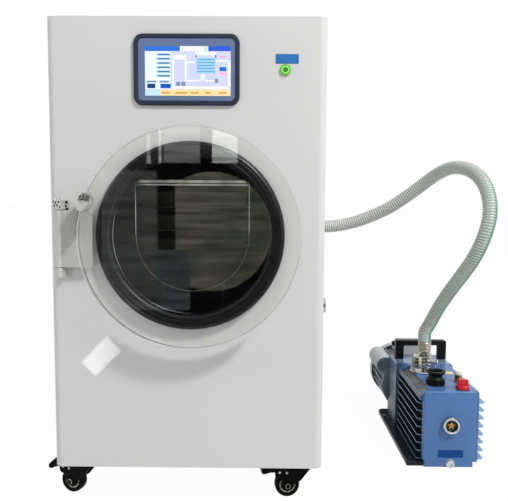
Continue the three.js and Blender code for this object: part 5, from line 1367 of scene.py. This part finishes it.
class DRYER_OT_pump_case(bpy.types.Operator):
    """Finned oil case behind its front plate, and the foot it stands on"""

    bl_idname = "dryer.pump_case"
    bl_label = "Pump case and foot"

    def execute(self, context):
        self.foot()
        self.case()
        self.fins(look("pump"))
        self.plate()
        self.block()
        return {"FINISHED"}

    @staticmethod
    def foot():
        foot, r = Span("pump_foot"), 18
        slab = [(foot.x0, foot.y0), (foot.x1, foot.y0), *arc(foot.x1 - r, foot.y1 - r, r, 0, 90, 10),
                *arc(foot.x0 + r, foot.y1 - r, r, 90, 180, 10)]
        Form().prism(slab, "z", 0, foot.z1).into(
            "foot_plate", "Foot enamel", "dark_blue", "pump_foot", bevel=2.0, segments=3)
        washers = Form()
        for y in (foot.y0 + 30, foot.y1 - 60):
            washers.bar(7, foot.z1 - 0.2, foot.z1 + 0.1, "z", (foot.x0 + 10, y, 0), 24)
        washers.into("foot_bolt_washers", "Bright chrome", "chrome")

    @staticmethod
    def case():
        """Oil case with a channel sunk into its sloping shoulder."""
        foot_top, back, plate_back, top = 12.3, CASE.y1, PUMP_FRONT + PLATE_T, PUMP_TOP
        outline = [(BODY_X0, foot_top), (BODY_X1, foot_top), (BODY_X1, top - 12),
                   *arc(BODY_X1 - 10, top - 10, 10, 0, 90, 6), (BODY_X0 + 14, top),
                   (SHOULDER_X + 1, top - 15), (SHOULDER_X, top - 18), (SHOULDER_X, top - 26),
                   (BODY_X0, top - 31)]
        slope0, slope1 = Vector((SHOULDER_X + 1, top - 15)), Vector((BODY_X0 + 14, top))
        along = (slope1 - slope0).normalized()
        out = Vector((-along.y, along.x))
        lower, upper, deep = slope0 + along * 2.5, slope1 - along * 1.5, -4.5
        sides = [lower + out * 5, lower + out * deep + along * 2, upper + out * deep - along * 2,
                 upper + out * 5]
        channel = Form().prism(sides, "y", plate_back - 3, back - 26)
        obj = Form().prism(outline, "y", plate_back - 1, back).into(
            "oil_case", ["Shaded casting", "Blue enamel", "Bare channel"], "pump_blue", "pump_case",
            bevel=0.8, cuts=[channel])

        def coat(face):
            centre, normal = BACK_TO_DRAWING @ face.center, face.normal
            sunk = (Vector((centre.x, centre.z)) - slope0).dot(out)
            if centre.z > top - 26 and centre.x < BODY_X0 + 14 and -6 < sunk < -0.6 and normal.y > -0.6:
                return 2
            # Top, right and front faces take the blue enamel and the rest the darker shaded casting: painted
            # shade on the left side and underneath.
            return int((normal.z > 0.35 and centre.z > top - 30) or normal.x > 0.6 or normal.y < -0.6)

        repaint(obj, coat)

    @staticmethod
    def fins(settings):
        form = Form()
        left, right, front, back = CASE.x0, CASE.x1, PUMP_FRONT + PLATE_T + 15, CASE.y1
        bend = FIN_BEND
        for i in range(FIN_COUNT):
            z = FIN_FIRST + i * FIN_PITCH
            low, high = z - FIN_T / 2, z + FIN_T / 2
            form.prism([*arc(left + bend, front + bend, bend, 180, 265, 8), (BODY_X0 + 3, front - 3),
                        (BODY_X0 + 3, back), (left, back)], "z", low, high)
            form.prism([(BODY_X1 - 3, front - 3), *arc(right - bend, front + bend, bend, 275, 360, 8),
                        (right, back), (BODY_X1 - 3, back)], "z", low, high)
        obj = form.into("case_fins", ["Worn fin edges", "Shaded casting", "Lit fin enamel"], "pump_blue",
                        bevel=settings.fin_edge / MM)
        middle = place((left + right) / 2, 0, 0).x
        # Painted light and shade: right-hand fins take the lit copy, the flat faces of the left fins the
        # shaded copy, and their edges the highlit copy.
        repaint(obj, lambda face: 2 if face.center.x > middle else int(abs(face.normal.z) > 0.6))

    @staticmethod
    def plate():
        """Front plate with its notched foot and eased border, a paper tag and a blank plate."""
        x0, x1, top, y0, y1, notch = PLATE_X0, PLATE_X1, PUMP_TOP, PUMP_FRONT, PUMP_FRONT + PLATE_T, 5

        def outline(inset):
            r = 3.4 - inset * 0.5
            a, b, t = x0 + inset, x1 - inset, top - inset
            return [(a + notch, 3 + inset), (b - notch, 3 + inset), (b - notch, 19), (b, 26),
                    *arc(b - r, t - r, r, 0, 90, 8), *arc(a + r, t - r, r, 90, 180, 8), (a, 26),
                    (a + notch, 19)]

        border = ((0.4, y1), (0, y1 - 0.8), (0, y0 + 3.2), (0.5, y0 + 1.4), (1.6, y0 + 0.4), (3, y0))
        Form().nested(outline, border, capped=True).into("front_plate", "Blue enamel", "pump_blue", smooth=50)
        Form().prism([(678, 374), (702, 370), (704, 396), (684, 400)], "z", top - 0.3, top + 0.4).into(
            "paper_tag", "Paper tag", "pump_blue")
        Form().prism(rounded(618, 683, 29, 49, 1.2, 3), "y", y0 - 0.5, y0 + 0.3).into(
            "blank_plate", "Blank plate", "pump_blue", bevel=0.15)

    @staticmethod
    def block():
        """Pump block behind the case, with a machined joint line and a chamfer at the back."""
        x0, x1, y0, y1, top, r = BLOCK.x0, BLOCK.x1, BLOCK.y0, BLOCK.y1, PUMP_TOP, 14
        outline = [(x0, BLOCK.z0), (x1, BLOCK.z0), *arc(x1 - r, top - r, r, 0, 90, 10),
                   *arc(x0 + 5, top - 5, 5, 90, 180, 6)]
        line = Form().box(x0 - 5, x0 + 1.2, y0 + 42, y0 + 44.5, 0, top + 5)
        corner = [(y1 - 9, top + 1), (y1 + 3, top + 1), (y1 + 3, top - 10)]
        chamfer = Form().prism(corner, "x", x0 - 5, x1 + 5)
        obj = Form().prism(outline, "y", y0, y1).into(
            "pump_body", ["Block enamel", "Block top enamel"], "pump_blue", "pump_block", bevel=1.2,
            segments=3, cuts=[line, chamfer])
        # Upward faces take the lighter top copy: painted light.
        repaint(obj, lambda face: int(face.normal.z > 0.4))


class DRYER_OT_pump_motor(bpy.types.Operator):
    """Ribbed motor with its fan cowl, terminal box and capacitor cover"""

    bl_idname = "dryer.pump_motor"
    bl_label = "Pump motor"

    def execute(self, context):
        self.frame()
        self.cowl()
        self.terminal_box()
        self.capacitor()
        dress("motor_fan", "Black moulding", 0.4)
        return {"FINISHED"}

    @staticmethod
    def frame():
        r, cx, cz = MOTOR.r, MOTOR.cx, MOTOR.cz
        end, step = MOTOR.y1 - 29, 360 / MOTOR_RIBS
        outline = []
        for i in range(MOTOR_RIBS):
            a = i * step
            outline += arc(cx, cz, r - MOTOR_RIB, a, a + step * 0.58, 3)
            outline += arc(cx, cz, r, a + step * 0.68, a + step * 0.9, 2)
        form = Form().prism(outline, "y", BLOCK.y1 + 12, end)
        flange = [(0, 0), (r - 2, 0), (r, 2), (r, 10), (r - 3, 13), (0, 13)]
        form.turned(flange, "y", (cx, BLOCK.y1 + PLAY, cz), 96)
        form.bar(6, 0, 30, "y", (cx, end - 1, cz), edge=0.6)
        # The frame takes the darker copy of the motor grey: painted shade among its ribs.
        form.into("ribbed_motor", "Motor rib enamel", "motor_grey", "pump_motor", bevel=0.9)

    @staticmethod
    def cowl():
        cowl = Span("motor_cowl")
        r, cx, y, cz, long = cowl.r, cowl.cx, cowl.y0, cowl.cz, cowl.y1 - cowl.y0
        profile = [(r - 2, 0), (r, 0), (r, long - 9), (r - 1, long - 6), (r - 3, long - 3),
                   (r - 6, long - 0.8), (r - 9, long), (12, long), (12, long - 2), (r - 9.6, long - 2),
                   (r - 5, long - 4.5), (r - 2, long - 9)]
        slots = Form()
        for inner, outer, count in COWL_SLOTS:
            for i in range(count):
                a0, a1 = (2 * math.pi * (i + share) / count for share in (0.18, 0.82))
                corners = ((inner, a0), (outer, a0), (outer * 1.01, (a0 + a1) / 2), (outer, a1), (inner, a1))
                outline = [polar(cx, cz, reach, a) for reach, a in corners]
                slots.prism(outline, "y", y + long - 6, y + long + 4)
        Form().turned(profile, "y", (cx, y, cz), 96, ring=True).into(
            "fan_cowl", "Grey enamel", "motor_grey", "motor_cowl", bevel=0.3, cuts=[slots])

    @staticmethod
    def terminal_box():
        """Housing on the motor's top with its screwed lid and one cable gland."""
        lid, seam = Span("terminal_box"), 12
        hollow = Form().bar(MOTOR.r + 0.9, BLOCK.y1, MOTOR.y1, "y", (MOTOR.cx, 0, MOTOR.cz), 96)
        walls = rounded(lid.x0 + 2, lid.x1 - 2, lid.y0 + 2, lid.y1 - 2, 5)
        Form().prism(walls, "z", lid.z0, lid.z1 - seam).into(
            "terminal_housing", "Grey enamel", "motor_grey", "terminal_box", bevel=0.8, cuts=[hollow])
        Form().prism(rounded(lid.x0, lid.x1, lid.y0, lid.y1, 6), "z", lid.z1 - seam, lid.z1 - 1.6).into(
            "terminal_lid", "Grey enamel", "motor_grey", bevel=1.8, segments=4)
        screws, top = Form(), lid.z1
        for x in (lid.x0 + 8, lid.x1 - 8):
            for y in (lid.y0 + 8, lid.y1 - 8):
                screws.turned([(0, top - 2), (3.4, top - 2), (3, top - 0.4), (0, top)], "z", (x, y, 0), 20)
        screws.into("terminal_screws", "Bright chrome", "chrome")
        gland = Form().hexagon(9, 0, 11.2, "x", (lid.x0 - 9, lid.cy, lid.z0 + 62))
        gland.bar(6.4, 0, 8, "x", (lid.x0 - 16, lid.cy, lid.z0 + 62), edge=1)
        gland.into("cable_gland", "Black moulding", "black_plastic", bevel=0.4)

    @staticmethod
    def capacitor():
        """Domed can beside the motor, hollowed where it meets the motor and the cowl."""
        can, r = Span("capacitor_cover"), 28
        long, edge, lap = can.y1 - can.y0, MOTOR.r + 0.9, MOTOR.r + 4.9
        x, z = polar(MOTOR.cx, MOTOR.cz, MOTOR.r + 10.2, math.radians(142.2))
        profile = [(0, 1.2), (r - 7, 1.2), (r - 6, 0), (r - 3.4, 0), (r - 1, 1), (r, 3.4),
                   *dome(r, long - r, r, 10), (0, long)]
        hollow = Form().bar(edge, 0, long + 2, "y", (MOTOR.cx, can.y0 - 1, MOTOR.cz), 96)
        step = Form().bar(lap, 0, 40, "y", (MOTOR.cx, MOTOR.y1 - 29, MOTOR.cz), 96)
        obj = Form().turned(profile, "y", (x, can.y0, z), 72).into(
            "capacitor_can", ["Grey enamel", "Motor rib enamel"], "motor_grey", "capacitor_cover",
            cuts=[hollow, step])
        near = place(0, can.y0 + 2, 0).y
        # The can's end facing the block takes the darker copy: painted shade in the gap.
        repaint(obj, lambda face: int(face.normal.y < -0.7 and face.center.y < near))


class DRYER_OT_pump_top(bpy.types.Operator):
    """Handle, inlet adaptor, exhaust cap, gas-ballast knob and relief valve on the pump's top"""

    bl_idname = "dryer.pump_top"
    bl_label = "Pump top fittings"

    def execute(self, context):
        self.handle()
        self.inlet()
        self.ferrule()
        self.clamp()
        self.exhaust()
        self.knob()
        self.relief()
        return {"FINISHED"}

    @staticmethod
    def handle():
        handle = Span("pump_handle")
        x0, x1, z0, z1 = handle.x0, handle.x1, handle.z0, handle.z1
        post, bar, r, ri = 24.5, 15, 6, 5
        outline = [(x0, z0), (x0 + post, z0), *arc(x0 + post + ri, z1 - bar - ri, ri, 180, 90, 6),
                   *arc(x1 - post - ri, z1 - bar - ri, ri, 90, 0, 6), (x1 - post, z0), (x1, z0),
                   *arc(x1 - r, z1 - r, r, 0, 90, 8), *arc(x0 + r, z1 - r, r, 90, 180, 8)]
        Form().prism(outline, "y", handle.y0, handle.y1).into(
            "carry_handle", "Black moulding", "black_plastic", "pump_handle", bevel=2.2, segments=4)

    @staticmethod
    def inlet():
        """Round base, eight-sided boss and the collared pipe beside it."""
        z, seat = Span("inlet_adaptor").z0, 4.9
        base = [(0, 0), (35.4, 0), (37.6, 1), (38, 2.2), (36.6, 4), (33, 5), (0, 5)]
        Form().turned(base, "z", (INLET_X, INLET_Y, z), 80).into(
            "inlet_base", "Bright chrome", "chrome", "inlet_adaptor")
        at = (INLET_X - 20, INLET_Y - 6, z)
        boss = Form().turned([(0, seat), (15, seat), (15, 42), (13.6, 45), (11, 47), (0, 47.5)], "z", at, 8)
        boss.turned([(0, seat), (17, seat), (17, 9), (16, 10.4), (0, 10.4)], "z", at, 8)
        for level in (22, 34):
            boss.bar(15.8, level, level + 2, "z", at, 8)
        boss.into("inlet_boss", "Tarnished nickel", "chrome", bevel=0.6)
        pipe = Form().bar(8, seat, seat + 52.2, "z", (INLET_X + 5, INLET_Y, z), 40)
        pipe.into("inlet_pipe", "Bright chrome", "chrome")
        collars = Form()
        wide_and_thick = ((19, 4.2), (13, 3), (17, 4.4), (13, 3), (17, 4.4), (13, 3), (16.5, 4.6), (12.5, 3))
        for i, (radius, thick) in enumerate(wide_and_thick):
            level = 21 + i * 4.4
            collars.collar(8.1, radius, level, level + thick, 0.8, "z", (INLET_X + 3, INLET_Y, z), 56)
        collars.into("pipe_collars", "Tarnished nickel", "chrome")

    @staticmethod
    def ferrule():
        """Grooved ferrule at the hose's end."""
        inlet = Span("inlet_adaptor")
        top, low = inlet.z1, inlet.z0 + 57
        grooves = [(0, low), (16.5, low), (18, low + 1.2)]
        for z in (low, low + 8, low + 16):
            grooves += [(18, z + 6), (16.2, z + 7.2), (16.2, z + 8), (18, z + 9.2)]
        profile = [p for p in grooves if p[1] < top - 2.6] + [(18, top - 2.4), (16.4, top), (0, top)]
        Form().turned(profile, "z", (INLET_X, INLET_Y, 0), 56).into(
            "hose_ferrule", "Nickel ferrule", "chrome", bevel=0.4)

    @staticmethod
    def clamp():
        """Threaded screw and wing nut that tighten the clamp on the pipe."""
        x, y, z = INLET_X, INLET_Y - 4, Span("inlet_adaptor").z0 + 24
        screw = Form()
        for i in range(12):
            screw.bar(4 if i % 2 else 3.5, 0, 1.75, "x", (x + 10 + i * 1.7, y, z), 24)
        screw.into("clamp_screw", "Warm brass", "chrome")
        wing = Form()
        bow = [math.radians(-90 + 180 * i / 14) for i in range(15)]
        for side in (-1, 1):
            path = [(x + 34, y + side * (3 + 6.5 * math.cos(a)), z + 9 * math.sin(a)) for a in bow]
            wing.skin(sweep(path, 1.7, 12), capped=True)
        wing.bar(5, 0, 7, "x", (x + 30, y, z), 24, edge=0.8)
        wing.box(x + 12, x + 30, y - 8, y + 10, z - 10, z - 8)
        wing.box(x + 12, x + 26, y - 10, y - 7, z - 12, z + 6)
        wing.into("wing_nut", "Bright chrome", "chrome")

    @staticmethod
    def exhaust():
        """Waisted cap with a flared mouth and a gripped base."""
        cap = Span("exhaust_cap")
        z = cap.z0
        profile = [(0, 0), (24.5, 0), (24.5, 2), (23.6, 3), (23.6, 12), (24.5, 13), (24.5, 15), (21, 18),
                   (18.4, 21), (18, 23), (18.8, 27), (22, 30), (25, 32), (25.5, 33), (25.5, 36), (24.6, 37),
                   (20, 37), (18.4, 35), (17, 25), (0, 25)]
        Form().turned(profile, "z", (cap.cx, cap.cy, z), 72).into(
            "exhaust_flare", "Black moulding", "black_plastic", "exhaust_cap", smooth=40)
        grip = Form()
        for a in round_angles(24):
            grip.bar(1, 0, 9, "z", (*polar(cap.cx, cap.cy, 23.6, a), z + 3), 8)
        grip.into("exhaust_grip", "Black moulding", "black_plastic")

    @staticmethod
    def knob():
        knob = Span("ballast_knob")
        cx, cy, z = 684, 234, knob.z0
        skirt = [(0, 0), (17.5, 0), (17.5, 8), (16.6, 10), (14, 12), (0, 12.5)]
        form = Form().turned(skirt, "z", (cx, cy, z))
        form.prism(rounded(cx - 13, cx + 13, z + 8, knob.z1, 3, 6), "y", cy - 6, cy + 6)
        form.into("winged_ballast_knob", "Red moulding", "red_plastic", "ballast_knob", "ballast_knob_body",
                  bevel=1.4, segments=3)

    @staticmethod
    def relief():
        valve = Span("relief_valve")
        at, cap = (valve.cx, valve.cy, valve.z0), [(0, 19.6), (9.8, 19.6), *dome(9.8, 20, 8, 9), (0, 28)]
        Form().bar(12, 0, 4, "z", at, 6).into(
            "relief_hexagon", "Warm brass", "brass", "relief_valve", bevel=0.6)
        Form().bar(9.6, 3.9, 19.8, "z", at, 48).into("relief_body", "Warm brass", "brass", bevel=0.4)
        Form().turned(cap, "z", at, 48).into("relief_dome", "Pale cap", "brass")


class DRYER_OT_pump_front(bpy.types.Operator):
    """Sight glass and drain plug on the pump's front plate"""

    bl_idname = "dryer.pump_front"
    bl_label = "Sight glass and drain plug"

    def execute(self, context):
        self.sight()
        self.plug()
        return {"FINISHED"}

    @staticmethod
    def sight():
        """Chrome ring round a dark lens, with a gold star behind the glass."""
        sight = Span("sight_glass")
        r, back, front, at = sight.r, sight.y1, sight.y0, (sight.cx, 0, sight.cz)
        ring = [(r - 8, back), (r, back), (r, back - 6), (r - 0.8, back - 9), (r - 3, front), (r - 5, front),
                (r - 7.4, front + 1.6), (r - 8, back - 4)]
        Form().turned(ring, "y", at, 80, ring=True).into(
            "sight_ring", "Bright chrome", "chrome", "sight_glass", smooth=30)
        r -= 7.9
        lens = [(0, back), (r, back), *dome(r, back - 3.4, -1.6, 6), (0, back - 5)]
        Form().turned(lens, "y", at).into("sight_lens", "Oil glass", "chrome")
        star = [polar(sight.cx, sight.cz, 5 if i % 2 else 10.5, math.radians(90 + 36 * i)) for i in range(10)]
        Form().prism(star, "y", back - 5.6, back - 4.4).into("level_star", "Golden star", "chrome", bevel=0.2)

    @staticmethod
    def plug():
        plug = Span("drain_plug")
        at, back, face, r = (plug.cx, 0, plug.cz), plug.y1, plug.y0, plug.r
        collar = [(0, back), (r, back), (r, back - 2.4), (r - 0.6, back - 3), (0, back - 3)]
        Form().turned(collar, "y", at, 48).into("plug_collar", "Bright chrome", "chrome", "drain_plug")
        head = [(0, back - 2.9), (r - 1, back - 2.9), (r - 1, face + 1), (r - 2, face), (5, face),
                (4.4, face + 3.5), (0, face + 3.5)]
        Form().turned(head, "y", at, 48).into("plug_head", "Bright chrome", "chrome")


# ---------- panel and registration ----------

STEPS = [
    DRYER_OT_camera, DRYER_OT_hose, DRYER_OT_studio, DRYER_OT_cabinet, DRYER_OT_chamber, DRYER_OT_door,
    DRYER_OT_screen, DRYER_OT_fittings, DRYER_OT_casters, DRYER_OT_pump_case, DRYER_OT_pump_motor,
    DRYER_OT_pump_top, DRYER_OT_pump_front,
]


class DRYER_PT_builder(bpy.types.Panel):
    bl_label = "Freeze dryer"
    bl_idname = "DRYER_PT_builder"
    bl_space_type = "VIEW_3D"
    bl_region_type = "UI"
    bl_category = "Freeze dryer"

    def draw(self, context):
        for name, group in SETTINGS.items():
            box = self.layout.box()
            for key in group.__annotations__:
                box.prop(getattr(context.scene, name), key)
        for step in STEPS:
            self.layout.operator(step.bl_idname)


def register():
    for name, group in SETTINGS.items():
        bpy.utils.register_class(group)
        setattr(bpy.types.Scene, name, PointerProperty(type=group))
    for item in (*STEPS, DRYER_PT_builder):
        bpy.utils.register_class(item)


def unregister():
    for item in (DRYER_PT_builder, *reversed(STEPS)):
        bpy.utils.unregister_class(item)
    for name, group in SETTINGS.items():
        delattr(bpy.types.Scene, name)
        bpy.utils.unregister_class(group)


def main():
    register()
    for step in STEPS:
        family, action = step.bl_idname.split(".")
        getattr(getattr(bpy.ops, family), action)()


if __name__ == "__main__":
    main()
